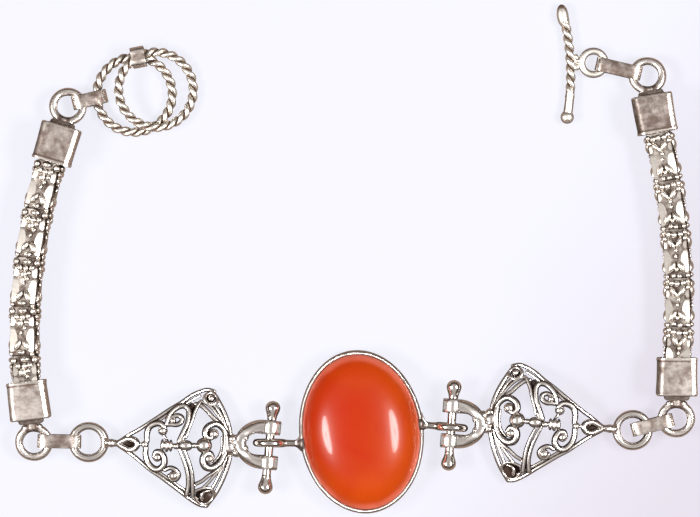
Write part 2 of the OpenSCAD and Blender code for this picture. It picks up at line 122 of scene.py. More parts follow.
class Shape:
    """Closed shells in millimetres, gathered for one piece, with a value from 0 to 1 at each vertex for
    tarnish and painted shade.
    """

    def __init__(self, place=np.eye(3), at=(0, 0, 0)):
        self.place, self.at = place, np.array(at, float)
        self.points, self.quads, self.tris, self.tarnish, self.count = [], [], [], [], 0

    def add(self, points, quads, tris, tarnish=0.0):
        """Adds one closed shell and turns its faces round if the volume inside comes out negative."""
        points = points.reshape(-1, 3)
        halves = np.concatenate([quads[:, [0, 1, 2]], quads[:, [0, 2, 3]], tris])
        a, b, c = points[halves[:, 0]], points[halves[:, 1]], points[halves[:, 2]]
        if np.einsum("ij,ij->", a - points[0], np.cross(b - points[0], c - points[0])) < 0:
            quads, tris = quads[:, ::-1], tris[:, ::-1]
        self.points.append(points @ self.place.T + self.at)
        self.quads.append(quads + self.count)
        self.tris.append(tris + self.count)
        self.tarnish.append(np.broadcast_to(np.asarray(tarnish, float).ravel(), len(points)))
        self.count += len(points)

    def absorb(self, other):
        """Takes over every shell of another shape."""
        self.points += other.points
        self.quads += [quads + self.count for quads in other.quads]
        self.tris += [tris + self.count for tris in other.tris]
        self.tarnish += other.tarnish
        self.count += other.count

    def rings(self, rings, tarnish=0.0, closed=False):
        """Rings of points joined side by side; an open row of them gets a point in the middle of each end."""
        n, m = rings.shape[:2]
        i = np.arange(n if closed else n - 1)[:, None]
        j = np.arange(m)[None]
        a, b, k, l = i * m + j, (i + 1) % n * m + j, (i + 1) % n * m + (j + 1) % m, i * m + (j + 1) % m
        quads = np.stack(np.broadcast_arrays(a, b, k, l), -1).reshape(-1, 4)
        tarnish = np.broadcast_to(tarnish, (n, m))
        if closed:
            self.add(rings, quads, np.zeros((0, 3), int), tarnish)
            return
        poles = np.stack([rings[0].mean(0), rings[-1].mean(0)])
        here, after = np.arange(m), (np.arange(m) + 1) % m
        first = np.stack([here, after, np.full(m, n * m)], -1)
        last = np.stack([(n - 1) * m + after, (n - 1) * m + here, np.full(m, n * m + 1)], -1)
        self.add(np.vstack([rings.reshape(-1, 3), poles]), quads, np.vstack([first, last]),
                 np.concatenate([tarnish.ravel(), [tarnish[0].mean(), tarnish[-1].mean()]]))

    def tube(self, path, width, tall=None, up=(0, 0, 1), closed=False, sides=12, dark=0.0, bare=0.82,
             point=1.0):
        """Wire along a path: path + side * width * cos a + rise * tall * sin a, round at its open ends.

        width and tall are half thicknesses, for the whole path or for each of its points. side lies square to
        the path and to up, rise square to both. dark is the tarnish and painted shade on the wire's low
        sides, which fades away up to the share bare of the height. point is how far the tips reach out, as a
        share of the half width.
        """
        path = np.asarray(path, float)
        width = np.broadcast_to(np.asarray(width, float), len(path))
        tall = width if tall is None else np.broadcast_to(np.asarray(tall, float), len(path))
        ahead, side, rise = directions(path, closed, up)
        if not closed:
            a = np.radians([80, 60, 40, 20])
            back = path[:1] - ahead[:1] * width[0] * point * np.sin(a)[:, None]
            fore = path[-1:] + ahead[-1:] * width[-1] * point * np.sin(a[::-1])[:, None]
            path = np.vstack([back, path, fore])
            side, rise = (np.vstack([np.repeat(v[:1], 4, 0), v, np.repeat(v[-1:], 4, 0)])
                          for v in (side, rise))
            width, tall = (np.concatenate([v[0] * np.cos(a), v, v[-1] * np.cos(a[::-1])])
                           for v in (width, tall))
        b = circle(sides)
        rings = (path[:, None] + side[:, None] * (width[:, None] * np.cos(b))[..., None]
                 + rise[:, None] * (tall[:, None] * np.sin(b))[..., None])
        # the wire darkens towards its low sides: tarnish and painted shade
        self.rings(rings, dark * ease(bare, bare - 0.62, np.sin(b))[None], closed)

    def ball(self, centre, radii, turn=np.eye(3), rows=9, sides=14, dark=0.0):
        """Ball or egg: centre + turn * (rx cos a cos b, ry cos a sin b, rz sin a), with tarnish and painted
        shade low on its sides.
        """
        a = np.radians(np.linspace(-82, 82, rows))[:, None]
        b = circle(sides)[None]
        on_unit = np.stack([np.cos(a) * np.cos(b), np.cos(a) * np.sin(b), np.sin(a) + 0 * b], -1)
        turned = (on_unit * np.asarray(radii, float)) @ np.asarray(turn).T
        self.rings(turned + np.asarray(centre, float), dark * ease(0.78, 0.2, unit(turned)[..., 2]))

    def lathe(self, profile, sides=32, dark=0.0):
        """Turned form about X: each (x, r) of the profile becomes a ring (x, r cos a, r sin a)."""
        p = np.asarray(profile, float)
        a = circle(sides)
        self.rings(np.stack([p[:, :1] + 0 * a, p[:, 1:] * np.cos(a), p[:, 1:] * np.sin(a)], -1), dark)

    def build(self, name, body, node_name, finish, angle=40):
        """Makes the Blender piece, rides it on its body and lets it stand for its CAD node."""
        points = np.vstack(self.points) * MM
        quads, tris = np.vstack(self.quads), np.vstack(self.tris)
        corners = np.concatenate([quads.ravel(), tris.ravel()])
        starts = np.concatenate([np.arange(len(quads)) * 4, quads.size + np.arange(len(tris)) * 3])
        mesh = bpy.data.meshes.new(name)
        mesh.vertices.add(len(points))
        mesh.vertices.foreach_set("co", points.ravel())
        mesh.loops.add(len(corners))
        mesh.loops.foreach_set("vertex_index", corners.astype(np.int32))
        mesh.polygons.add(len(starts))
        mesh.polygons.foreach_set("loop_start", starts.astype(np.int32))
        mesh.update(calc_edges=True)
        mesh.validate()
        mesh.shade_smooth()
        mesh.set_sharp_from_angle(angle=np.radians(angle))
        layer = mesh.attributes.new("tarnish", "FLOAT", "POINT")
        layer.data.foreach_set("value", np.concatenate(self.tarnish).astype(np.float32))
        piece = bpy.data.objects.new(name, mesh)
        bpy.context.scene.collection.objects.link(piece)
        mesh.materials.append(finish)
        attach(piece, body)
        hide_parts(node_name)
        return piece


# Shader node helpers

def feed(tree, made, inputs):
    """Gives a node's sockets their values: another node's socket is linked, anything else is set."""
    for key, value in inputs.items():
        if isinstance(value, bpy.types.NodeSocket):
            tree.links.new(value, made.inputs[key])
        else:
            made.inputs[key].default_value = value


def node(tree, kind, inputs=None, **settings):
    """Adds a shader node with its settings and its inputs."""
    made = tree.nodes.new(kind)
    for key, value in settings.items():
        setattr(made, key, value)
    feed(tree, made, inputs or {})
    return made


def maths(tree, operation, *values):
    """Result of a Math node on numbers or sockets."""
    return node(tree, "ShaderNodeMath", dict(enumerate(values)), operation=operation).outputs[0]


def vectors(tree, operation, *values):
    """Result of a Vector Math node: a number for a length or a dot product, otherwise a vector."""
    made = node(tree, "ShaderNodeVectorMath", dict(enumerate(values)), operation=operation)
    return made.outputs["Value" if operation in ("LENGTH", "DOT_PRODUCT") else "Vector"]


def mix(tree, share, a, b):
    """Colour a where the share is 0, b where it is 1."""
    return node(tree, "ShaderNodeMix", {"Factor": share, "A": a, "B": b}, data_type="RGBA").outputs["Result"]


def rising(tree, value, low, high, start=0.0, smooth=False):
    """Rises from start to 1 as the value goes from low to high, straight or smoothly."""
    inputs = {"Value": value, "From Min": low, "From Max": high, "To Min": start}
    kind = "SMOOTHSTEP" if smooth else "LINEAR"
    return node(tree, "ShaderNodeMapRange", inputs, interpolation_type=kind).outputs["Result"]


def noise(tree, place, scale, detail, roughness=0.5, distortion=0.0):
    """Cloudy noise around 0.5 at a place."""
    inputs = {"Vector": place, "Scale": scale, "Detail": detail, "Roughness": roughness,
              "Distortion": distortion}
    return node(tree, "ShaderNodeTexNoise", inputs).outputs["Fac"]


def ramp(tree, share, stops):
    """Colour of a ramp with the given (place, colour) stops at a share."""
    made = node(tree, "ShaderNodeValToRGB", {"Fac": share})
    bar = made.color_ramp
    while len(bar.elements) < len(stops):
        bar.elements.new(0.5)
    for element, (place, colour) in zip(bar.elements, stops):
        element.position = place
        element.color = (*colour, 1)
    return made.outputs["Color"]


def new_finish(name):
    """A new material, its node tree and its shader."""
    finish = bpy.data.materials.new(name)
    finish.use_nodes = True
    return finish, finish.node_tree, finish.node_tree.nodes["Principled BSDF"]


# Finishes

def worn_metal_group():
    """Silver with tarnish and painted shade in its low places: colour, roughness and a scratched, slightly
    uneven surface.
    """
    tree = bpy.data.node_groups.new("worn_and_shaded_silver", "ShaderNodeTree")
    for label, kind, value in (("Bright", "Color", (0.86, 0.83, 0.79, 1)),
                               ("Dark", "Color", (0.05, 0.034, 0.026, 1)), ("Tarnish and shade", "Float", 0.0),
                               ("Film", "Float", 0.3), ("Gloss", "Float", 0.16),
                               ("Scratches", "Float", 0.3), ("Unevenness", "Float", 0.2)):
        socket = tree.interface.new_socket(name=label, in_out="INPUT", socket_type="NodeSocket" + kind)
        socket.default_value = value
    for label, kind in (("Color", "Color"), ("Roughness", "Float"), ("Normal", "Vector")):
        tree.interface.new_socket(name=label, in_out="OUTPUT", socket_type="NodeSocket" + kind)
    given = node(tree, "NodeGroupInput").outputs
    place = node(tree, "ShaderNodeTexCoord").outputs["Object"]
    cloud = noise(tree, place, 900.0, 4.0, 0.6)
    fine = noise(tree, place, 5200.0, 3.0, 0.65)
    brushed = node(tree, "ShaderNodeMapping", {"Vector": place, "Rotation": (0.3, 0.2, 0.9),
                                               "Scale": (700, 9000, 2500)})
    lines = rising(tree, noise(tree, brushed.outputs["Vector"], 1.0, 5.0, 0.7), 0.45, 0.75)
    patch = maths(tree, "SUBTRACT", cloud, 0.5)
    grown = maths(tree, "MULTIPLY_ADD", patch, 0.9, given["Tarnish and shade"])
    any_there = maths(tree, "GREATER_THAN", given["Tarnish and shade"], 0.01)
    tarnished = rising(tree, maths(tree, "MULTIPLY", grown, any_there), 0.12, 0.88, smooth=True)
    film = maths(tree, "MULTIPLY", maths(tree, "MAXIMUM", patch, 0.0), given["Film"])
    # the mask darkens the silver: tarnish and painted shade from the vertices, and cloudy film
    mask = maths(tree, "MAXIMUM", tarnished, film)
    scuffed = maths(tree, "MULTIPLY", lines, given["Scratches"])
    rough = maths(tree, "MULTIPLY_ADD", scuffed, 0.25, given["Gloss"])
    height = maths(tree, "MULTIPLY_ADD", fine, 0.12, maths(tree, "MULTIPLY", cloud, 1.2))
    swell = node(tree, "ShaderNodeBump", {"Distance": 0.00006, "Strength": given["Unevenness"],
                                          "Height": height})
    scratch = node(tree, "ShaderNodeBump", {"Distance": 0.000004, "Strength": given["Scratches"],
                                            "Height": lines, "Normal": swell.outputs["Normal"]})
    node(tree, "NodeGroupOutput", {"Color": mix(tree, mask, given["Bright"], given["Dark"]),
                                   "Roughness": maths(tree, "MULTIPLY_ADD", mask, 0.3, rough),
                                   "Normal": scratch.outputs["Normal"]})
    return tree


WORN_AND_SHADED = worn_metal_group()


def silver(name, bright, dark, gloss, film, scratches, unevenness):
    """A silver finish: the shared worn and shaded surface, with the tarnish and painted shade of each vertex,
    feeding a metal shader.
    """
    finish, tree, shader = new_finish(name)
    tarnish = node(tree, "ShaderNodeAttribute", attribute_name="tarnish").outputs["Fac"]
    inputs = {"Bright": (*bright, 1), "Dark": (*dark, 1), "Tarnish and shade": tarnish, "Film": film, "Gloss": gloss,
              "Scratches": scratches, "Unevenness": unevenness}
    worn_and_shaded = node(tree, "ShaderNodeGroup", inputs, node_tree=WORN_AND_SHADED).outputs
    feed(tree, shader, {"Metallic": 1.0, "Base Color": worn_and_shaded["Color"], "Roughness": worn_and_shaded["Roughness"],
                        "Normal": worn_and_shaded["Normal"]})
    return finish


# Bright colour, dark colour for tarnish and painted shade, gloss, film, scratches, unevenness
POLISHED = silver("polished_silver", (0.9, 0.85, 0.8), (0.12, 0.08, 0.065), 0.14, 0.35, 0.3, 0.3)
SATIN = silver("satin_silver", (0.95, 0.88, 0.82), (0.16, 0.115, 0.095), 0.26, 0.35, 0.8, 0.2)
CAST = silver("cast_silver", (0.97, 0.91, 0.86), (0.06, 0.038, 0.03), 0.24, 0.4, 0.2, 0.3)
CHAINED = silver("oxidised_silver", (0.98, 0.91, 0.83), (0.085, 0.058, 0.045), 0.32, 0.5, 0.2, 0.1)
ROPE = silver("rope_silver", (0.99, 0.94, 0.86), (0.26, 0.18, 0.135), 0.4, 0.1, 0.1, 0.05)


def carnelian():
    """Polished orange-red stone: deeper in the middle, more orange low on the right, milky pink at its rim,
    partly the stone's milkiness and partly painted sheen.

    Painted glints: light specks in the colour on the flanks, close to the bezel.
    """
    finish, tree, shader = new_finish("carnelian")
    place = node(tree, "ShaderNodeTexCoord").outputs["Object"]
    cloud = noise(tree, place, 130.0, 2.0, distortion=0.4)
    drift = vectors(tree, "DOT_PRODUCT", place, (30.0, -22.0, 0.0))
    # on the stone the vertex layer holds the share of the way out to the rim
    rim = node(tree, "ShaderNodeAttribute", attribute_name="tarnish").outputs["Fac"]
    warmth = maths(tree, "MULTIPLY_ADD", cloud, 0.9, maths(tree, "MULTIPLY_ADD", rim, 0.35, drift))
    tones = ramp(tree, warmth, ((0.25, (0.41, 0.019, 0.001)), (0.55, (0.42, 0.03, 0.0015)),
                                (0.95, (0.47, 0.05, 0.002))))
    clouded = maths(tree, "MULTIPLY_ADD", cloud, 0.14, maths(tree, "SUBTRACT", rim, 0.04))
    # milky pink rim: the stone's milkiness with painted sheen
    milk_and_sheen = rising(tree, clouded, 0.97, 1.05, smooth=True)
    edge = mix(tree, maths(tree, "MULTIPLY", milk_and_sheen, 0.7), tones, (0.78, 0.17, 0.1, 1))
    glint = rising(tree, noise(tree, place, 2600.0, 2.0), 0.66, 0.72)
    band = rising(tree, rim, 0.93, 0.97)
    sideways = maths(tree, "ABSOLUTE", node(tree, "ShaderNodeSeparateXYZ", {"Vector": place}).outputs["X"])
    flank = rising(tree, sideways, 0.0052, 0.0062)
    # painted glints: light specks on the flanks near the rim
    painted_sparkle = maths(tree, "MULTIPLY", maths(tree, "MULTIPLY", glint, band), flank)
    feed(tree, shader, {"Base Color": mix(tree, painted_sparkle, edge, (0.95, 0.75, 0.55, 1)), "Roughness": 0.3,
                        "IOR": 1.3, "Coat Weight": 0.3, "Coat Roughness": 0.05, "Coat IOR": 1.5,
                        "Subsurface Weight": 0.08, "Subsurface Scale": 0.001,
                        "Subsurface Radius": (1.0, 0.25, 0.08)})
    return finish


CARNELIAN = carnelian()


# Values shared with the solids, in millimetres and degrees

STONE_W, STONE_L, STONE_TURN = 15.0, 20.0, 7.0
HINGE_Z = 2.3
HINGES = {"left": (-11.75, -1.41, HINGE_Z), "right": (11.49, 0.61, HINGE_Z)}
PIN_ENDS = {"left": (-5.4, 6.6), "right": (-5.6, 6.05)}
FORK_HEADINGS = {"left": 174.5, "right": -4.2}
FORK_SHIFTS = {"left": 0.28, "right": 0.48}
FAN_TIPS = {"left": (-31.15, -1.5, 0), "right": (30.9, 0.45, 0)}
FAN_HEADINGS = {"left": -2.5, "right": 176.0}
FAN_REACHES = {"left": 3.78, "right": 3.85}
FAN_RING_Z = 1.5
MOUTHS = {"left_lower": (-42.87, 6.44), "left_upper": (-39.67, 34.5),
          "right_lower": (40.37, 9.5), "right_upper": (37.9, 38.28)}
CAP_HEADINGS = {"left_lower": -83.0, "left_upper": 73.5, "right_lower": -90.5, "right_upper": 100.0}
# How dark each cap's walls are: tarnish and painted shade
CAP_TONES = {"left_lower": 0.54, "left_upper": 0.64, "right_lower": 0.6, "right_upper": 0.7}
CAP_Z = 2.42
RING_GAPS = {"left_lower": 3.0, "left_upper": 2.6, "right_lower": 3.0, "right_upper": 2.55}
CHAIN_BENDS = {"left": 21.0, "right": -18.0}
# Middle, heading, slope, length, height and darkness (tarnish and painted shade) of each strap
STRAPS = {"left_lower": ((-38.67, -1.23, 1.76), -1.5, 7.5, 5.6, 1.84, 0.66),
          "right_lower": ((37.3, 0.87, 1.65), 14.8, -7.5, 5.57, 1.84, 0.62),
          "left_upper": ((-34.81, 42.55, 1.36), 14, 12.3, 4.61, 2.15, 0.72),
          "right_upper": ((32.97, 46.49, 1.52), -13.8, -9.3, 6.0, 1.85, 0.74)}


# Stone and setting

def oval(offset, turns):
    """Points round the stone's oval, pushed outwards: (a cos t, b sin t) + offset * the oval's normal."""
    a, b = STONE_W / 2, STONE_L / 2
    offset = np.asarray(offset, float)
    edge = np.stack([a * np.cos(turns), b * np.sin(turns)], -1)
    out = unit(np.stack([b * np.cos(turns), a * np.sin(turns)], -1))
    return edge + out * offset[..., None]


def make_stone():
    """Cabochon: rings of the oval scaled by cos(t)^0.86 at height foot + girdle + dome * sin(t)."""
    shape = Shape(turn_z(STONE_TURN))
    foot, girdle, dome_height = 0.55, 1.9, 4.15
    around = circle(160)
    t = np.radians(np.linspace(0, 89, 64))
    reach = np.concatenate([[0.9, 0.985, 1.0], np.cos(t) ** 0.86])
    level = np.concatenate([[foot, foot, foot + 0.15], foot + girdle + dome_height * np.sin(t)])
    flat = oval(0 * around, around)[None] * reach[:, None, None]
    rings = np.concatenate([flat, np.broadcast_to(level[:, None, None], (*flat.shape[:2], 1))], -1)
    # the vertex value is the share of the way out to the rim, which the finish turns milky pink with painted
    # sheen
    shape.rings(rings, ease(0.25, 1.02, reach)[:, None] + 0 * around[None])
    return shape.build("cabochon", "setting", "carnelian_stone", CARNELIAN, 60)


# Bezel's section: how far out of the oval, how high, and how deep its teeth are there
BEZEL = ((0.2, 0.0, 0), (0.4, 0.03, 0), (0.45, 0.12, 0), (0.46, 1.0, 0), (0.45, 2.0, 0), (0.44, 2.5, 0.2),
         (0.42, 2.7, 0.6), (0.4, 2.76, 0.2), (0.36, 2.9, 1), (0.24, 3.02, 1), (0.12, 3.06, 0.8),
         (0.0, 3.02, 1), (-0.07, 2.98, 1.2), (-0.06, 2.86, 0.5), (0.05, 2.7, 0), (0.05, 0.6, 0))
# Tarnish and painted shade along the section: darker at the foot, under the bent-over edge and inside against
# the stone, bare on the crest
BEZEL_TARNISH_AND_SHADE = (0.7, 0.6, 0.5, 0.3, 0.3, 0.4, 0.9, 0.8, 0.35, 0, 0.05, 0.5, 0.95, 1, 1, 1)


def make_setting():
    """Bezel cup with a finely toothed edge bent over the stone, and an eye of round wire on each side.

    The section is carried round the oval, and the sine of 230 times the angle swells and sinks it as teeth.
    """
    shape = Shape(turn_z(STONE_TURN))
    teeth = 230
    around = circle(6 * teeth)
    nick = 0.5 + 0.5 * np.sin(teeth * around)
    slow = 0.02 * np.sin(3 * around + 1) + 0.015 * np.sin(7 * around)
    out, high, depth = np.array(BEZEL).T[..., None]
    offset = out + depth * (0.05 * nick[None] - 0.03) + slow[None] * (high > 2)
    level = high + depth * 0.03 * (nick[None] - 0.5)
    flat = oval(offset, np.broadcast_to(around, offset.shape))
    dark = np.array(BEZEL_TARNISH_AND_SHADE)[:, None]
    # darker in the gaps between the teeth and lighter on them: tarnish and painted shade
    worn_and_shaded = np.clip(dark + 0.5 * (0.5 - nick[None]) * (dark < 0.9), 0, 1)
    shape.rings(np.concatenate([flat, level[..., None]], -1), worn_and_shaded)
    for side, heading, reach, up in (("left", 179.0, 4.25, 1), ("right", -4.5, 4.05, -1)):
        wire = Shape(turn_z(heading), HINGES[side])
        a = circle(72)
        eye = 1.69 * (1 + 0.012 * np.sin(2 * a))
        ring = np.stack([eye * np.cos(a), 0 * a, eye * np.sin(a)], -1)
        wire.tube(ring, 0.5 - 0.03 * np.cos(a), up=(0, 1, 0), closed=True, sides=18)
        x = np.linspace(1.5, reach + 0.15, 26)
        swell = 0.43 + 0.1 * np.exp(-((x - 1.6) / 0.45) ** 2) + 0.6 * ease(reach - 1.3, reach - 0.1, x) ** 2.2
        wire.lathe(np.stack([-x, swell], -1), 24, (0.65 * ease(reach - 2.1, reach - 0.6, x))[:, None])
        spur = spline([(-reach + 1.1, 0, 0.1), (-reach + 0.65, -0.35 * up, 0.3),
                       (-reach + 0.35, -0.9 * up, 0.35), (-reach + 0.12, -1.5 * up, 0.3)], 16)
        wire.tube(spur, np.linspace(0.24, 0.1, 16), dark=0.5, sides=10)
        shape.absorb(wire)
    return shape.build("bezel_cup_and_eyes", "setting", "bezel_setting", POLISHED, 50)


# Hinge pins and filigree links

def make_pin(side):
    """Loose pin: a plain shaft, and at each end an acorn that swells outwards and closes in half a ball."""
    shape = Shape(turn_z(FORK_HEADINGS[side] + 90), HINGES[side])
    low, high = PIN_ENDS[side]
    acorn_length, shaft = 2.3, 0.55
    t = np.linspace(0, 1, 22)
    body = 0.6 + 0.35 * ease(0.0, 0.62, t)
    close = np.sqrt(np.clip(1 - (np.clip(t - 0.6, 0, 1) / 0.4) ** 2, 0.0004, 1))
    acorn = np.stack([t * acorn_length, body * close], -1)
    upper = acorn + [high - acorn_length, 0]
    lower = (acorn * [-1, 1] + [low + acorn_length, 0])[::-1]
    collar = np.array([(0.03, 0.6), (0.1, 0.57), (0.3, shaft)])
    below = collar + [low + acorn_length, 0]
    above = (collar * [-1, 1] + [high - acorn_length, 0])[::-1]
    profile = np.vstack([lower, below, above, upper])
    seams = (profile[:, :1] - [high - 2.35, low + 2.35]) / 0.16
    shape.lathe(profile, 32, np.clip(0.55 * np.exp(-seams ** 2).sum(1), 0, 1)[:, None])
    return shape.build(f"{side}_pin", f"{side}_arm", f"{side}_hinge_pin", POLISHED, 60)


# Lumps of solder behind a fork's bow: centre and radii
FORK_SOLDER = (((4.0, 0.0, -0.1), (1.05, 1.0, 1.0)), ((3.35, 0.75, 0.3), (0.75, 0.6, 0.6)),
               ((3.4, -0.7, 0.35), (0.7, 0.6, 0.55)), ((4.6, 0.45, 0.0), (0.65, 0.6, 0.7)),
               ((4.75, -0.35, 0.05), (0.6, 0.6, 0.65)), ((2.95, 1.35, 0.55), (0.42, 0.4, 0.4)))


def add_fork(shape, side):
    """Fork: a bow between two rails, from ear to ear, with a knuckle round the pin on each ear, and solder.

    Its section between the rails is middle + half * |cos a|^0.66, crest * |sin a|^0.66, with their signs.
    """
    place, at, shift = turn_z(FORK_HEADINGS[side]), np.array(HINGES[side]), FORK_SHIFTS[side]
    part = Shape(place, at)
    straight = np.linspace(0, 1, 10)
    bow = np.radians(np.linspace(0, 180, 49))
    outer_y = np.sign(np.cos(bow)) * np.abs(np.cos(bow)) ** 1.1
    outer_bow = np.stack([0.9 + 3.6 * np.sin(bow), 3.15 * outer_y], -1)
    inner_bow = np.stack([1.65 + 1.35 * np.sin(bow), 1.35 * np.cos(bow)], -1)
    outer_ear = np.stack([-1.2 + 2.1 * straight, 3.15 + 0 * straight], -1)[:-1]
    inner_ear = np.stack([-1.2 + 2.85 * straight, 1.35 + 0 * straight], -1)[:-1]
    outer = np.vstack([outer_ear, outer_bow, outer_ear[::-1] * [1, -1]])
    inner = np.vstack([inner_ear, inner_bow, inner_ear[::-1] * [1, -1]])
    middle, half = (outer + inner) / 2, (outer - inner) / 2
    a = circle(28)
    across, high = (np.sign(v) * np.abs(v) ** 0.66 for v in (np.cos(a), np.sin(a)))
    x_share = ease(1.0, 4.4, middle[:, :1])
    crest = 1.0 - 0.12 * x_share
    flat = middle[:, None] + half[:, None] * across[None, :, None]
    tilt = 0.3 * ease(0.6, 1.8, np.abs(middle[:, 1:2])) * ease(0.5, 2.5, middle[:, :1])
    level = crest * high[None] - tilt * np.clip(across[None], -1, 1)
    rings = np.concatenate([flat, level[..., None]], -1) + [0, shift, 0]
    # tarnish and painted shade low on the section and on its flanks towards the bow
    dark = 0.75 * ease(0.5, -0.3, high)[None] + 0.35 * x_share * ease(0.2, 1.0, np.abs(across))[None]
    part.rings(rings, np.clip(dark, 0, 1))
    for sign in (1, -1):
        knuckle = Shape(turn_z(FORK_HEADINGS[side] + 90), at + place @ np.array([0, shift, 0]))
        y = sign * np.array([1.36, 1.36, 1.42, 1.9, 2.6, 3.04, 3.1, 3.1])
        r = np.array([0.62, 1.2, 1.27, 1.27, 1.27, 1.27, 1.2, 0.62])
        knuckle.lathe(np.stack([y, r], -1), 40, np.array([1, 0.6, 0.2, 0, 0, 0.2, 0.6, 1])[:, None])
        seam = np.stack([y[2:-1], 0 * y[2:-1] - 0.45, 0 * y[2:-1] + 1.18], -1)
        knuckle.tube(seam, 0.07, sides=6)
        part.absorb(knuckle)
    for centre, radii in FORK_SOLDER:
        part.ball(np.array(centre) + [0, shift, 0], radii, rows=13, sides=20, dark=0.6)
    shape.absorb(part)


# The openwork, seen from above: x from the fan's tip to its base, y across, in millimetres. Each stroke is
# its path, its half width and its height above the dome.
RAILS = (
    ([(0.1, 0.2), (1.45, 1.2), (2.5, 1.85), (4.0, 2.9), (5.45, 3.95), (6.7, 4.85), (7.85, 5.6), (9.2, 6.6),
      (10.35, 7.15), (11.2, 7.35), (12.0, 7.15)], 0.26, 0.05),
    ([(4.25, 2.55), (5.5, 3.45), (6.75, 4.4), (7.85, 5.1), (9.25, 6.0), (10.2, 6.55)], 0.2, 0.15),
    ([(0.15, -0.3), (1.7, -1.2), (3.15, -2.25), (4.25, -3.1), (5.55, -3.9), (6.85, -4.8), (8.2, -5.75),
      (9.5, -6.7), (10.7, -7.4), (11.6, -7.55)], 0.27, 0.05),
    ([(4.5, -2.75), (5.95, -3.7), (7.1, -4.45), (8.3, -5.25), (9.5, -6.0), (10.4, -6.65)], 0.2, 0.15),
    ([(11.7, 7.2), (12.4, 6.25), (13.1, 5.1), (13.65, 4.0), (14.1, 2.75), (14.35, 1.45), (14.45, 0.2),
      (14.35, -1.25), (14.0, -2.8), (13.45, -4.35), (12.7, -5.9), (11.6, -7.5)], 0.3, 0.05),
    ([(11.9, 5.6), (12.55, 4.95), (13.1, 4.1), (13.55, 3.1), (13.9, 2.1), (14.0, 1.05)], 0.24, 0.16),
    ([(14.0, -0.45), (13.75, -1.75), (13.3, -3.05), (12.8, -4.25), (12.2, -5.4)], 0.24, 0.16),
    ([(9.75, 5.5), (10.55, 5.25), (11.35, 4.6), (12.0, 3.9), (12.65, 3.35), (13.35, 2.7)], 0.3, 0.12),
    ([(10.35, 5.9), (11.15, 5.55), (11.95, 4.95), (12.6, 4.2), (13.15, 3.45), (13.7, 2.6)], 0.22, 0.2),
    ([(9.9, -4.95), (10.2, -4.7), (10.95, -4.3), (11.7, -3.65), (12.45, -3.1), (13.15, -2.45),
      (13.75, -1.5)], 0.26, 0.12),
    ([(11.1, -5.2), (11.85, -4.4), (12.55, -3.5), (13.3, -2.5), (13.9, -1.4)], 0.22, 0.2),
)
SCROLLS = (
    ([(3.75, 0.5), (3.7, 1.5), (3.95, 2.3), (4.55, 2.75), (5.3, 2.85), (5.85, 2.5), (5.8, 1.95)], 0.37, 0.32),
    ([(5.8, 1.6), (6.0, 1.2), (6.3, 0.8)], 0.17, 0.15),
    ([(3.65, -0.3), (3.65, -1.3), (4.0, -2.25), (4.75, -2.95), (5.5, -2.95), (6.05, -2.3), (6.0, -1.45),
      (5.6, -0.85), (5.0, -0.8), (4.75, -1.35)], 0.38, 0.32),
    ([(6.15, 2.7), (6.75, 2.8), (7.45, 2.8), (8.0, 3.15), (8.05, 3.7), (7.5, 3.95), (6.8, 3.7),
      (6.3, 3.35)], 0.3, 0.16),
    ([(6.2, -3.05), (6.85, -2.75), (7.55, -3.0), (7.95, -3.6), (7.65, -4.2), (7.05, -4.25),
      (6.75, -3.75)], 0.3, 0.25),
    ([(7.85, 0.8), (8.35, 1.95), (8.8, 3.0), (8.95, 4.05), (8.85, 4.8), (8.35, 5.2), (7.65, 5.1), (6.95, 4.6),
      (6.5, 4.05), (6.25, 3.4), (6.15, 2.75)], 0.33, 0.3),
    ([(13.9, 1.45), (13.4, 2.45), (12.6, 3.05), (11.8, 2.9), (11.25, 2.4), (11.15, 1.65), (11.6, 1.25),
      (12.2, 1.45)], 0.38, 0.3),
    ([(13.7, 1.95), (13.8, 0.9), (13.75, 0.05), (13.55, -0.9)], 0.42, 0.25),
    ([(13.75, -0.6), (13.15, -1.85), (12.2, -2.55), (11.35, -2.4), (11.0, -1.65), (11.2, -0.9), (11.8, -0.7),
      (12.15, -1.1)], 0.42, 0.32),
    ([(13.25, 1.4), (13.35, 0.5), (13.25, -0.4), (12.85, -1.25), (12.3, -1.85)], 0.17, 0.1),
)
RIBS = (
    ([(8.7, 1.2), (9.1, 2.5), (9.45, 3.6), (9.7, 4.6), (10.2, 5.65)], 0.2, 0.3),
    ([(7.95, -0.35), (8.4, -1.35), (8.85, -2.5), (9.15, -3.65), (9.25, -4.9), (9.1, -6.05)], 0.25, 0.3),
    ([(8.55, -0.35), (9.05, -1.45), (9.45, -2.6), (9.7, -3.75), (9.8, -5.15), (9.85, -6.15)], 0.25, 0.3),
)
# Closed loops round the drop at the tip and the two eyes: path, half width, and darkness on their low sides,
# tarnish and painted shade
LOOPS = (
    ([(0.1, -0.02), (0.75, 0.45), (1.5, 0.7), (2.2, 0.52), (2.5, 0.05), (2.2, -0.48), (1.55, -0.7),
      (0.85, -0.45)], 0.4, 0.8),
    ([(10.8, 6.2), (11.2, 5.65), (11.95, 5.55), (12.4, 6.0), (12.25, 6.6), (11.6, 6.95),
      (11.0, 6.7)], 0.25, 0.7),
    ([(10.05, -5.75), (10.15, -6.55), (10.75, -7.2), (11.65, -7.2), (12.35, -6.55), (12.5, -5.7),
      (12.0, -5.2), (11.0, -5.25)], 0.19, 0.7),
)
LOW_STROKE = [(11.85, -5.55), (11.3, -5.7), (11.0, -6.1), (11.0, -6.6)]
# Grains at the ends of the scrolls: place and radius
TIPS = (((5.72, 1.95), 0.62), ((5.15, -1.45), 0.6), ((12.2, 1.8), 0.68), ((11.75, -1.4), 0.64),
        ((7.35, -3.75), 0.64), ((6.95, 3.3), 0.42), ((10.0, -4.85), 0.28), ((11.65, 6.3), 0.44))
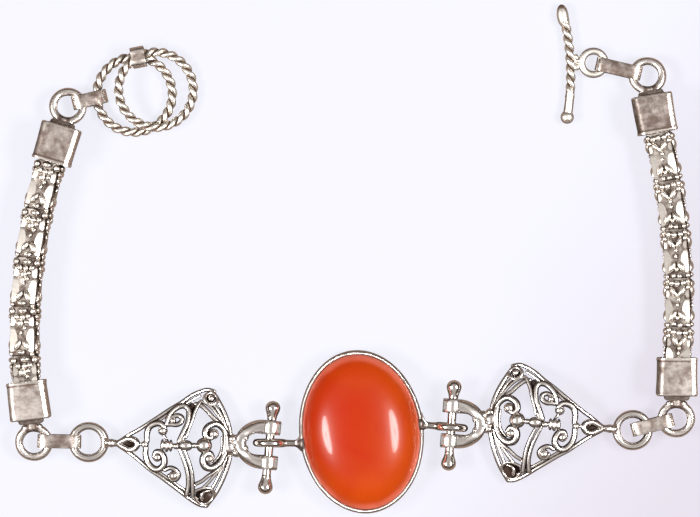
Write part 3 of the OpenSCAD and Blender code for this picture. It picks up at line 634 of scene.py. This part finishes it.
# Beads and bars along the middle: place and radii
BEADS = (((3.5, 0.1), (0.5, 0.48, 0.5)), ((5.75, 0.1), (0.27, 0.8, 0.55)),
         ((6.3, 0.1), (0.36, 0.86, 0.64)), ((6.82, 0.1), (0.27, 0.78, 0.55)),
         ((7.5, 0.05), (0.42, 0.4, 0.45)), ((8.75, 0.2), (0.92, 0.7, 0.64)),
         ((9.8, 0.25), (0.42, 0.36, 0.4)), ((11.05, 0.3), (1.02, 1.0, 0.95)))
# Thin wires between the beads: start, end and half width
SPOKES = (((2.5, 0.05), (3.5, 0.1), 0.2), ((6.8, 0.1), (10.9, 0.3), 0.28))
# Dark plates that close the bottoms of hollows, painted shade in the holes of the openwork: middle, the two
# radii and darkness
SHADE_PLATES = (((1.45, 0.0), 1.1, 0.55, 0.85), ((11.3, -6.2), 1.15, 0.95, 0.92), ((11.4, 6.25), 0.75, 0.6, 0.9),
          ((9.2, 4.9), 0.5, 0.75, 0.8), ((9.35, -5.75), 0.8, 0.6, 0.85))
# Solder between the fan's base and its fork: place and radii
BASE_SOLDER = (((14.3, 0.15), (1.0, 1.05, 0.9)), ((13.7, -0.9), (0.5, 0.6, 0.5)),
               ((14.5, 1.05), (0.6, 0.5, 0.6)), ((15.2, -0.5), (0.7, 0.6, 0.7)),
               ((15.4, 0.6), (0.6, 0.6, 0.65)))
CROWN_X, DOME_R, DOME_LOW = 7.5, 15.0, -11.464


def dome(flat, lift=0.0):
    """Puts flat points on the fan's dome: z = low + sqrt((R + lift)^2 - squared distance from the crown)."""
    flat = np.asarray(flat, float)
    r2 = (flat[..., 0] - CROWN_X) ** 2 + flat[..., 1] ** 2
    return np.concatenate([flat, (DOME_LOW + np.sqrt((DOME_R + lift) ** 2 - r2))[..., None]], -1)


def make_filigree(side):
    """Fork, domed fan of rails, scrolls, ribs and beads, and the ring at its tip: one soldered piece."""
    shape = Shape()
    add_fork(shape, side)
    fan = Shape(turn_z(FAN_HEADINGS[side]), FAN_TIPS[side])
    mirrored = np.array([1, -1 if side == "right" else 1])

    def placed(flat, lift):
        """Flat points of the openwork on this side's dome, at a height above it."""
        return dome(np.array(flat) * mirrored, lift)

    # The strokes, loops, grains and beads below darken on their low sides with tarnish and painted shade,
    # their crests left bright.
    for path, width, lift in RAILS:
        curve = placed(spline(path, 14 * len(path)), lift)
        fan.tube(curve, width, width * 1.25, dark=0.95, bare=1.05, sides=14)
    for path, width, lift in SCROLLS:
        curve = placed(spline(path, 14 * len(path)), lift)
        taper = 1.18 * width * (0.7 + 0.3 * np.sin(np.linspace(0.25, np.pi - 0.1, len(curve))))
        fan.tube(curve, taper, taper * 1.3, dark=1.0, bare=1.14, sides=16)
    for path, width, lift in RIBS:
        curve = placed(spline(path, 14 * len(path)), lift)
        taper = width * np.linspace(0.9, 1.35, len(curve))
        fan.tube(curve, taper, taper * 1.3, dark=1.0, bare=1.16, sides=16)
    for path, width, dark in LOOPS:
        loop = placed(spline(path, 60, closed=True), 0.25)
        fan.tube(loop, width, width * 1.35, closed=True, dark=dark, bare=1.05, sides=14)
    fan.tube(placed(spline(LOW_STROKE, 16), 0.15), np.linspace(0.12, 0.26, 16), dark=0.6, sides=12)
    for place, r in TIPS:
        fan.ball(placed(place, 0.3), (r, r, r), rows=13, sides=20, dark=0.9)
    for place, radii in BEADS:
        fan.ball(placed(place, 0.35), radii, rows=15, sides=28, dark=0.95)
    leaf_turn = turn_z(47 * mirrored[1])
    fan.ball(placed((8.2, 1.0), 0.35), (0.85, 0.36, 0.38), leaf_turn, rows=13, sides=20, dark=0.8)
    for start, end, width in SPOKES:
        fan.tube(placed(np.linspace(start, end, 20), 0.15), width, width * 1.4, dark=0.9)
    # painted shade: dark plates just under the dome close the hollows
    for place, rx, ry, tone in SHADE_PLATES:
        fan.ball(placed(place, -0.1), (rx, ry, 0.12), rows=5, sides=20)
        fan.tarnish[-1] = np.full(len(fan.points[-1]), tone)
    reach = FAN_REACHES[side]
    a = circle(96)
    ring = np.stack([-reach + 2.08 * np.cos(a), 2.08 * np.sin(a), FAN_RING_Z + 0 * a], -1)
    fan.tube(ring, 0.5 + 0.015 * np.sin(3 * a), closed=True, sides=20, dark=0.45)
    neck = spline([(-reach + 2.2, 0, FAN_RING_Z), (-reach + 2.6, 0, FAN_RING_Z + 0.02), (-0.7, 0, 1.48),
                   (0.1, 0, 1.5)], 24)
    thick = np.interp(np.linspace(0, 1, 24), [0, 0.14, 0.36, 0.55, 0.78, 1],
                      [0.88, 0.72, 0.48, 0.56, 0.44, 0.4])
    fan.tube(neck, thick, dark=0.75, sides=16, point=0.4)
    for (x, y), radii in BASE_SOLDER:
        fan.ball((x, y * mirrored[1], 2.1), radii, rows=13, sides=20, dark=0.35)
    shape.absorb(fan)
    node_name = f"{side}_filigree_link"
    return shape.build(f"{side}_filigree", f"{side}_arm", node_name, CAST, 50)


# Straps, caps and their rings

def rounded_outline(half_w, half_h, corner, per_corner):
    """A rectangle with round corners as points (x, y), anticlockwise from its right side."""
    a = np.radians(np.linspace(0, 90, per_corner))
    starts = ((1, 1, 0), (-1, 1, 90), (-1, -1, 180), (1, -1, 270))
    return np.concatenate([np.stack([sx * (half_w - corner) + corner * np.cos(a + np.radians(turn)),
                                     sy * (half_h - corner) + corner * np.sin(a + np.radians(turn))], -1)
                           for sx, sy, turn in starts])


def make_strap(name, node_name, at, heading, slope, length, height, tone, corner=None):
    """Flat band with softened edges, bent to an upright loop, dark in the middle and bare at its folds.

    The loop's ends are half ellipses as long as fold, or round corners where corner gives their radius.
    """
    shape = Shape(turn_z(heading) @ turn_y(slope), at)
    thick, width, fold, per_corner, between = 0.26, 1.75, 1.4, 14, 6
    half_l, half_h = length / 2 - thick / 2, height / 2 - thick / 2
    if corner is None:
        loop = rounded_outline(half_l, half_h, half_h, per_corner)
        past = np.abs(loop[:, 0]) - (half_l - half_h)
        loop[:, 0] = np.sign(loop[:, 0]) * (half_l - fold + np.maximum(past, 0) * fold / half_h)
    else:
        loop = rounded_outline(half_l, half_h, corner - thick / 2, per_corner)
    shares = np.linspace(0, 1, between, endpoint=False)[:, None]
    steps = np.roll(loop, -1, 0) - loop
    loop = np.concatenate([loop[i] + steps[i] * (shares if i % per_corner == per_corner - 1 else shares[:1])
                           for i in range(len(loop))])
    ahead = unit(np.roll(loop, -1, 0) - np.roll(loop, 1, 0))
    out = np.stack([ahead[:, 1], -ahead[:, 0]], -1)
    band = rounded_outline(thick / 2, width / 2, 0.06, 3)
    dent = 0.05 * np.sin(loop[:, 0] * 1.7 + 0.6) * (loop[:, 1] > 0)
    flat = loop[:, None] + out[:, None] * (band[None, :, :1] + dent[:, None, None] * 0.5)
    rings = np.stack([flat[..., 0], np.broadcast_to(band[None, :, 1], flat.shape[:2]), flat[..., 1]], -1)
    # Tarnish and painted shade: dark on the inside of the loop and on its underside, and darker towards the
    # middle than at the folds.
    inside = ease(0.02, -0.06, band[:, 0])[None]
    worn_and_shaded = tone * ease(1.35, 0.75, np.abs(loop[:, 0:1]) - (half_l - 1.6))
    dark = np.maximum(0.9 * inside, np.maximum(worn_and_shaded, 0.25 * ease(0.5, -0.5, out[:, 1:2])))
    shape.rings(rings, np.clip(dark, 0, 1), closed=True)
    body = "right_arm" if name.startswith("right") else "left_arm"
    return shape.build(name, body, node_name, SATIN, 45)


# How a cap's bevel leaves the corner, inwards and down, for a corner of 0.9 mm
BEVEL = ((0, 0.7), (0.04, 0.5), (0.12, 0.32), (0.2, 0.22), (0.26, 0.18), (0.58, 0.05), (0.66, 0.02),
         (0.78, 0.003), (0.9, 0))
# Along a cap from its mouth to its shoulder: x, half width, half height, corner radius and darkness, tarnish
# with painted shade inside the mouth and at the step to the shoulder
CAP_ROWS = ((2.6, 2.0, 1.9, 0.5, 1), (0.1, 2.12, 2.02, 0.6, 0.9), (0.0, 2.2, 2.1, 0.7, 0.5),
            (-0.02, 2.42, 2.32, 0.9, 0), (0.04, 2.52, 2.4, 0.95, 0), (0.3, 2.53, 2.41, 0.95, 0.05),
            (0.42, 2.47, 2.38, 0.92, 0.35), (0.6, 2.46, 2.37, 0.9, 0.05), (2.6, 2.5, 2.38, 0.85, 0),
            (4.6, 2.56, 2.39, 0.82, 0), (4.8, 2.53, 2.36, 0.8, 0.1), (4.9, 2.42, 2.26, 0.7, 0.3),
            (4.92, 1.75, 1.25, 0.5, 0.85), (5.0, 1.62, 1.12, 0.45, 0.8), (5.3, 1.55, 1.05, 0.45, 0.6),
            (5.46, 1.35, 0.9, 0.45, 0.6), (5.5, 0.9, 0.5, 0.35, 0.7))


def cap_outline(half_w, half_h, corner, side):
    """A cap's section: round corners, except a bevel of about 20 degrees on top at one side."""
    outline = rounded_outline(half_w, half_h, corner, 9)
    bevelled = [half_w, half_h] - np.array(BEVEL) * (corner / 0.9)
    if side > 0:
        outline[:9] = bevelled
    else:
        outline[9:18] = (bevelled * [-1, 1])[::-1]
    return outline


def make_cap(side, level):
    """Square cap: open mouth with a thin lip, walls that widen a little, bevel, shoulder, neck and ring."""
    key = f"{side}_{level}"
    heading, gap = CAP_HEADINGS[key], RING_GAPS[key]
    shape = Shape(turn_z(heading), (*MOUTHS[key], CAP_Z))
    rings = []
    for x, half_w, half_h, corner, _ in CAP_ROWS:
        outline = cap_outline(half_w, half_h, corner, -1 if level == "upper" else 1)
        rings.append(np.concatenate([np.full((len(outline), 1), x), outline], -1))
    rings = np.stack(rings)
    wall = (rings[..., 0] > 0.1) & (rings[..., 0] < 4.7)
    push = 0.035 * lumps(rings, 4.0, sum(map(ord, key)))
    rings[..., 1:] += np.where(wall, push, 0)[..., None] * np.sign(rings[..., 1:])
    bevel = slice(11, 18) if level == "upper" else slice(0, 7)
    # The walls take each cap's tone of tarnish and painted shade; the bevel on the lit side is left bare, a
    # painted highlight.
    tarnish = np.array([row[4] for row in CAP_ROWS])[:, None] + np.where(wall, CAP_TONES[key], 0)
    tarnish[2:12, bevel] = 0.0
    shape.rings(rings, np.clip(tarnish, 0, 1))
    shoulder = np.array((*MOUTHS[key], CAP_Z)) + turn_z(heading) @ np.array([4.9, 0, 0])
    pivot = Shape(turn_z(heading) @ turn_y(10), shoulder)
    # The left upper cap's ring is split, 22 degrees wide at -40 degrees
    split = key == "left_upper"
    a = np.radians(np.linspace(-29, 309, 92)) if split else circle(96)
    ring = np.stack([gap + 1.91 * np.cos(a), 1.91 * np.sin(a), 0 * a], -1)
    pivot.tube(ring, 0.51 + 0.012 * np.sin(5 * a), closed=not split, sides=20, dark=0.45, point=0.5)
    reach = gap - 1.97
    off = np.linalg.norm((pivot.points[-1] - pivot.at) @ pivot.place - [reach, 0, 0], axis=1)
    pivot.tarnish[-1] = np.maximum(pivot.tarnish[-1], 0.85 * ease(1.5, 0.8, off))
    neck = spline([(0.3, 0, 0), (0.5 * (0.3 + reach), 0, 0), (reach + 0.1, 0, 0)], 12)
    pivot.tube(neck, 0.78, 0.62, dark=1.0, bare=1.3, sides=16, point=0.4)
    for y in (-0.75, 0.75):
        pivot.ball((reach + 0.02, y, 0.0), (0.5, 0.66, 0.48), rows=9, sides=14, dark=1.0)
    shape.absorb(pivot)
    return shape.build(f"{key}_box_cap", f"{side}_arm", f"{key}_cap", SATIN, 45)


# Chains of square flower links

LINK_PITCH, LINK_ROLL, LINK_GAP = 6.25, 10.0, 0.06
CORE = 1.46
# Grains (x, y, radii along and across) and petals (x, y, turn, half length, half width) on a link's faces
GRAINS = {
    "left": ((-2.62, 0.04, 0.36, 0.66), (-1.8, -0.78, 0.4, 0.4), (-1.74, 0.0, 0.42, 0.4),
             (-1.82, 0.76, 0.38, 0.38), (-1.12, 0.52, 0.28, 0.3), (-0.4, 0.3, 0.28, 0.28),
             (0.3, -0.1, 0.34, 0.2), (2.74, -0.05, 0.34, 0.6)),
    "right": ((-2.42, -0.78, 0.4, 0.38), (-2.34, 0.0, 0.44, 0.4), (-2.42, 0.76, 0.4, 0.38),
              (-0.35, 0.05, 0.26, 0.26), (2.05, 0.0, 0.3, 0.28), (0.35, 0.0, 0.34, 0.2),
              (2.82, -0.42, 0.3, 0.34), (2.86, 0.34, 0.3, 0.34))}
PETALS = {
    "left": ((1.82, 0.54, 26, 0.82, 0.4), (1.82, -0.54, -26, 0.82, 0.4), (-0.95, -0.26, 6, 0.62, 0.5)),
    "right": ((1.72, 0.54, 26, 0.82, 0.38), (1.72, -0.54, -26, 0.82, 0.38), (-1.3, 0.5, -30, 0.86, 0.36),
              (-1.3, -0.5, 30, 0.86, 0.36))}
# Leaves (x, half length, half width) and bumps (x, radius) along each corner of a link
LEAVES = {"left": ((1.2, 1.72, 0.64), (-1.2, 0.72, 0.46)), "right": ((1.1, 1.62, 0.64), (-1.02, 0.56, 0.34))}
BUMPS = {"left": ((-2.5, 0.48), (2.98, 0.34)), "right": ((-1.9, 0.42), (-2.62, 0.38), (2.9, 0.36))}


def chain_place(side, down):
    """Place and heading on a chain, an arc between its cap mouths, at a distance down from the upper one."""
    lower, upper = np.array(MOUTHS[f"{side}_lower"]), np.array(MOUTHS[f"{side}_upper"])
    bend = np.radians(CHAIN_BENDS[side])
    length = arc(lower, upper, bend, 0.0)[2]
    at, h, _ = arc(lower, upper, bend, 1 - down / length)
    return np.array([*at, CAP_Z]), np.degrees(h)


def add_petal(shape, face, at, aim, size):
    """Petal on a face: an egg stretched along its aim and pinched at both tips, half sunk in the core."""
    a = circle(16)[None]
    t = np.linspace(-0.96, 0.96, 11)[:, None]
    belly = (1 - t ** 2) ** 0.65
    grain = np.stack([size[0] * t + 0 * a, size[1] * belly * np.cos(a), size[2] * belly * np.sin(a)], -1)
    shape.rings((grain @ turn_z(aim).T + np.array(at)) @ face.T, 0.95 * ease(0.45, 0.0, np.sin(a)) + 0 * t)


def add_grain(shape, face, at, radii):
    """Grain half sunk in the core: an egg whose tarnish is full at the core and gone near its top."""
    shape.ball(np.array(at) @ face.T, radii, face, rows=9, sides=14)
    height = ((shape.points[-1] - shape.at) @ shape.place @ face)[:, 2]
    shape.tarnish[-1] = 0.95 * ease(at[2] + 0.6 * radii[2], at[2], height)


def add_leaf(shape, corner, middle, half_l, half_w):
    """Leaf folded over a corner: two flat halves that meet in a low ridge, an ellipse from the front.

    With u from 0 to 1 along the leaf, its half width is half_w * 2 * sqrt(u * (1 - u)) and its ridge rises
    with the square root of that.
    """
    u = np.linspace(0.008, 0.992, 19)[:, None]
    belly = 2 * np.sqrt(u * (1 - u))
    s = np.array([-1, -0.94, -0.7, -0.35, -0.05, 0.05, 0.35, 0.7, 0.94, 1, 0.5, -0.5])[None]
    under = np.array([0] * 10 + [1, 1], bool)[None]
    ridge = 1.85 + 0.6 * half_w * np.sqrt(belly)
    foot = np.minimum(2 * CORE / np.sqrt(2) - half_w * belly, 1.8) + 0.02
    high = np.where(under, 1.0, foot + (ridge - foot) * (1 - np.abs(s)))
    along = middle + half_l * (2 * u - 1) + 0 * s
    tarnish = np.where(under, 1.0, 0.8 * ease(0.88, 1.0, np.abs(s))) + 0.6 * ease(0.06, 0.0, u * (1 - u))
    shape.rings(np.stack([along, half_w * belly * s, high], -1) @ corner.T, np.clip(tarnish, 0, 1))


def add_block(shape, start, end, half, tone):
    """Square bar along X with round corners and softened ends."""
    rows = ((start, half - 0.6), (start, half - 0.05), (start + 0.05, half), (end - 0.05, half),
            (end, half - 0.05), (end, half - 0.6))
    rings = [np.concatenate([np.full((20, 1), x), rounded_outline(w, w, 0.35, 5)], -1) for x, w in rows]
    shape.rings(np.stack(rings), tone)


def add_link(shape, side, seed):
    """One link along X: a tarnished square core, grains and petals on its faces, leaves on its edges."""
    rng = np.random.default_rng(seed)
    half = LINK_PITCH / 2 - LINK_GAP / 2
    add_block(shape, -half, half, CORE, 0.7)
    add_block(shape, -half - 0.4, -half + 0.3, CORE - 0.2, 0.95)
    for turn in (0, 90, 180, 270):
        face, corner = turn_x(turn), turn_x(turn + 45)
        for x, y, along, across in GRAINS[side]:
            dx, dy = rng.normal(0, 0.04, 2)
            add_grain(shape, face, (x + dx, y + dy, 1.62), (along, across, 0.45 * (along + across)))
        for x, y, aim, half_l, half_w in PETALS[side]:
            add_petal(shape, face, (x, y, 1.56), aim + rng.normal(0, 3), (half_l, half_w, 0.42))
        for x, half_l, half_w in LEAVES[side]:
            add_leaf(shape, corner, x, half_l * (1 + rng.normal(0, 0.02)), half_w)
        for x, r in BUMPS[side]:
            add_grain(shape, corner, (x, rng.normal(0, 0.04), 1.84), (r, r, r))


def make_chain(side):
    """Five links counted off from the upper cap, rolled a little, the last one half inside the lower cap."""
    shape = Shape()
    for i in range(5):
        at, heading = chain_place(side, (i + 0.5) * LINK_PITCH)
        roll = LINK_ROLL if i < 4 else 0.0
        link = Shape(turn_z(heading + 180) @ turn_x(roll), at)
        add_link(link, side, 11 * i + (5 if side == "left" else 6))
        shape.absorb(link)
    return shape.build(f"{side}_flower_chain", f"{side}_arm", f"{side}_chain", CHAINED, 35)


# Clasp

STRAND_R, STRAND_OFFSET = 0.335, 0.295


def leaning(low, tilt):
    """Matrix that tilts by an angle towards the heading where the ring is lowest."""
    return turn_z(low) @ turn_y(tilt) @ turn_z(-low)


def twist(shape, path, turns, closed):
    """Two strands wound round each other: each strand's middle circles the path as the path runs on."""
    _, side, rise = directions(path, closed)
    angle = np.linspace(0, 2 * np.pi * turns, len(path), endpoint=not closed)
    b = circle(12)
    for start in (0.0, np.pi):
        out = side * np.cos(angle + start)[:, None] + rise * np.sin(angle + start)[:, None]
        middle = path + out * STRAND_OFFSET
        flank = unit(np.cross(directions(middle, closed)[0], out))
        section = out[:, None] * np.cos(b)[None, :, None] + flank[:, None] * np.sin(b)[None, :, None]
        rings = middle[:, None] + STRAND_R * section
        # tarnish and painted shade in the grooves between the strands, and painted shade low on the rope
        groove = 0.95 * ease(0.35, -0.1, np.cos(b))[None]
        below = 0.4 * ease(0.0, -0.7, (rings - path[:, None])[..., 2] / (STRAND_R + STRAND_OFFSET))
        shape.rings(rings, np.clip(np.maximum(groove, below), 0, 1), closed)


def make_rope_ring(name, node_name, at, low, tilt, phase):
    """Ring of two-strand rope, twelve turns round, slightly out of true."""
    shape = Shape(leaning(low, tilt), at)
    a = circle(280) + phase
    r = 4.84 * (1 + 0.006 * np.sin(2 * a + phase))
    twist(shape, np.stack([r * np.cos(a), r * np.sin(a), 0 * a], -1), 12, True)
    return shape.build(name, "left_arm", node_name, ROPE, 60)


BAR_TOP, BAR_FOOT, BAR_Z, BAR_BEND = np.array([25.74, 54.04]), np.array([26.39, 40.3]), 0.85, 24.8
# Solder between the bar and its ring: centre and radii
BAR_SOLDER = (((27.75, 47.5, 0.95), (0.6, 0.42, 0.5)), ((28.2, 47.1, 0.95), (0.45, 0.5, 0.45)),
              ((27.6, 46.7, 0.9), (0.45, 0.4, 0.45)), ((27.5, 48.0, 0.95), (0.35, 0.4, 0.4)))


def make_toggle():
    """Bowed bar of two twisted strands that run smooth at both ends into balls, with a ring on its side."""
    shape = Shape()
    n = 150
    flat = arc(BAR_TOP, BAR_FOOT, np.radians(BAR_BEND), np.linspace(0, 1, n))[0]
    path = np.concatenate([flat, np.full((n, 1), BAR_Z)], -1)
    twist(shape, path[14:122], 4.0, False)
    shape.tube(path[:20], np.linspace(0.62, 0.55, 20), dark=0.5, sides=16)
    shape.tube(path[112:], np.linspace(0.55, 0.6, 38), dark=1.0, bare=1.0, sides=16)
    egg = (*(BAR_TOP + [0.08, -0.75]), BAR_Z)
    shape.ball(egg, (0.76, 1.5, 0.78), turn_z(8), rows=17, sides=22, dark=0.5)
    # the egg is darker towards its top end
    height = shape.points[-1][:, 1] - BAR_TOP[1]
    shape.tarnish[-1] = shape.tarnish[-1] + 0.8 * ease(-0.2, 0.5, height)
    shape.ball((*BAR_FOOT, BAR_Z), (0.85, 0.85, 0.83), rows=15, sides=22, dark=1.0)
    a = circle(80)
    ring = np.stack([29.75 + 1.5 * np.cos(a), 47.27 + 1.5 * np.sin(a), 1.0 + 0 * a], -1)
    shape.tube(ring, 0.45, closed=True, sides=18, dark=0.95, bare=1.0)
    for centre, radii in BAR_SOLDER:
        shape.ball(centre, radii, rows=11, sides=16, dark=0.6)
    return shape.build("twisted_toggle_bar", "right_arm", "toggle_bar", ROPE, 60)


# Camera, floor and lights

def make_camera():
    """Long lens straight above, its frame as wide at the bracelet's middle as the photograph's."""
    view = bpy.data.cameras.new("view")
    view.sensor_width = 36.0
    height, field = 0.6, 0.0896
    view.lens = 36.0 * height / field
    view.clip_start, view.clip_end = 0.01, 20.0
    eye = bpy.data.objects.new("view", view)
    eye.location = (-0.00146, 0.02218, height + 0.002)
    bpy.context.scene.collection.objects.link(eye)
    bpy.context.scene.camera = eye


def make_floor():
    """Wide plain sheet with a faint grain: pale, with painted shade turning it mauve low on the right, and
    painted dark brown where the metal reflects it.
    """
    mesh = bpy.data.meshes.new("floor")
    r = 3.0
    mesh.from_pydata([(-r, -r, 0), (r, -r, 0), (r, r, 0), (-r, r, 0)], [], [(0, 1, 2, 3)])
    sheet = bpy.data.objects.new("floor", mesh)
    bpy.context.scene.collection.objects.link(sheet)
    finish, tree, shader = new_finish("pale_paper")
    place = node(tree, "ShaderNodeTexCoord").outputs["Object"]
    seen = node(tree, "ShaderNodeLightPath").outputs
    tint = ramp(tree, noise(tree, place, 60.0, 3.0), ((0.3, (0.64, 0.635, 0.7)), (0.7, (0.67, 0.665, 0.73))))
    # painted reflection: rays off the metal see the floor dark brown, which darkens the metal's low edges
    feed(tree, shader, {"Base Color": mix(tree, seen["Is Glossy Ray"], tint, (0.2, 0.15, 0.12, 1)),
                        "Roughness": 0.8, "Specular IOR Level": 0.0})
    # painted shade: the paper turns mauve towards the lower right
    painted_dusk = rising(tree, vectors(tree, "DOT_PRODUCT", place, (1.0, -0.6, 0.0)), 0.0, 0.055, smooth=True)
    paper = mix(tree, painted_dusk, (0.92, 0.92, 1.0, 1), (0.77, 0.71, 0.8, 1))
    glow = node(tree, "ShaderNodeEmission", {"Color": paper}).outputs["Emission"]
    share = maths(tree, "MULTIPLY", seen["Is Camera Ray"], 0.86)
    lit = node(tree, "ShaderNodeMixShader", {"Fac": share, 1: shader.outputs["BSDF"], 2: glow})
    feed(tree, tree.nodes["Material Output"], {"Surface": lit.outputs["Shader"]})
    mesh.materials.append(finish)


def soft_light(name, at, roll, power):
    """Oval soft light that faces the bracelet: bright round a dim core, fading outwards."""
    light = bpy.data.lights.new(name, "AREA")
    light.shape = "ELLIPSE"
    light.size, light.size_y = 0.3, 0.17
    light.energy = power
    light.use_nodes = True
    tree = light.node_tree
    place = node(tree, "ShaderNodeNewGeometry").outputs["Parametric"]
    centred = vectors(tree, "SUBTRACT", place, (0.5, 0.5, 0))
    length = vectors(tree, "LENGTH", vectors(tree, "MULTIPLY", centred, (0.8, 1, 1)))
    fade = ramp(tree, length, ((0.05, (0.35, 0.3, 0.33)), (0.09, (1, 1, 1)), (0.3, (1, 1, 1)),
                               (0.5, (0.25, 0.25, 0.25))))
    feed(tree, next(n for n in tree.nodes if n.type == "EMISSION"), {"Color": fade})
    lamp = bpy.data.objects.new(name, light)
    lamp.location = at
    aim = Vector((0, 0.02, 0)) - Vector(at)
    turned = aim.to_track_quat("-Z", "Y").to_matrix() @ Matrix.Rotation(roll, 3, "Z")
    lamp.rotation_euler = turned.to_euler()
    bpy.context.scene.collection.objects.link(lamp)


def make_studio():
    """Two soft lights left and right, and a grey sky, darker overhead, low down, ahead and behind."""
    soft_light("left_light", (-0.434, -0.06, 0.46), 0.25, 4.8)
    soft_light("right_light", (0.374, 0.01, 0.46), 0.1, 4.3)
    world = bpy.data.worlds.new("studio")
    bpy.context.scene.world = world
    world.use_nodes = True
    tree = world.node_tree
    towards = node(tree, "ShaderNodeTexCoord").outputs["Generated"]
    parts = node(tree, "ShaderNodeSeparateXYZ", {"Vector": towards}).outputs
    bands = ramp(tree, parts["Z"], ((0.0, (0.045, 0.03, 0.024)), (0.4, (0.065, 0.047, 0.038)),
                                    (0.58, (0.19, 0.17, 0.16)), (0.76, (0.56, 0.53, 0.515)),
                                    (0.92, (0.48, 0.455, 0.445)), (0.995, (0.32, 0.3, 0.29))))
    strip = rising(tree, maths(tree, "ABSOLUTE", parts["X"]), 0.02, 0.3, start=0.82, smooth=True)
    shaded = node(tree, "ShaderNodeVectorMath", {0: bands, "Scale": strip}, operation="SCALE").outputs[0]
    seen = node(tree, "ShaderNodeLightPath").outputs["Is Camera Ray"]
    colour = mix(tree, seen, shaded, (0.85, 0.84, 0.9, 1))
    feed(tree, tree.nodes["Background"], {"Color": colour, "Strength": 1.0})


make_camera()
make_stone()
make_setting()
make_pin("left")
make_pin("right")
for arm_side in ("left", "right"):
    make_filigree(arm_side)
    make_cap(arm_side, "lower")
    make_cap(arm_side, "upper")
    make_chain(arm_side)
for strap, measures in STRAPS.items():
    make_strap(f"{strap}_band", f"{strap}_strap", *measures)
make_strap("rope_rings_band", "clasp_ring_strap", (-28.57, 47.95, 1.67), 101.3, 0, 2.65, 3.31, 0.72, 0.8)
make_rope_ring("rope_ring_under", "clasp_ring_under", (-29.1, 43.2, 0.84), -45, 2.2, 0.3)
make_rope_ring("rope_ring_over", "clasp_ring_over", (-26.3, 43.8, 1.77), 5.4, 13.2, 1.1)
make_toggle()
make_floor()
make_studio()
bpy.context.scene.view_settings.view_transform = "Standard"
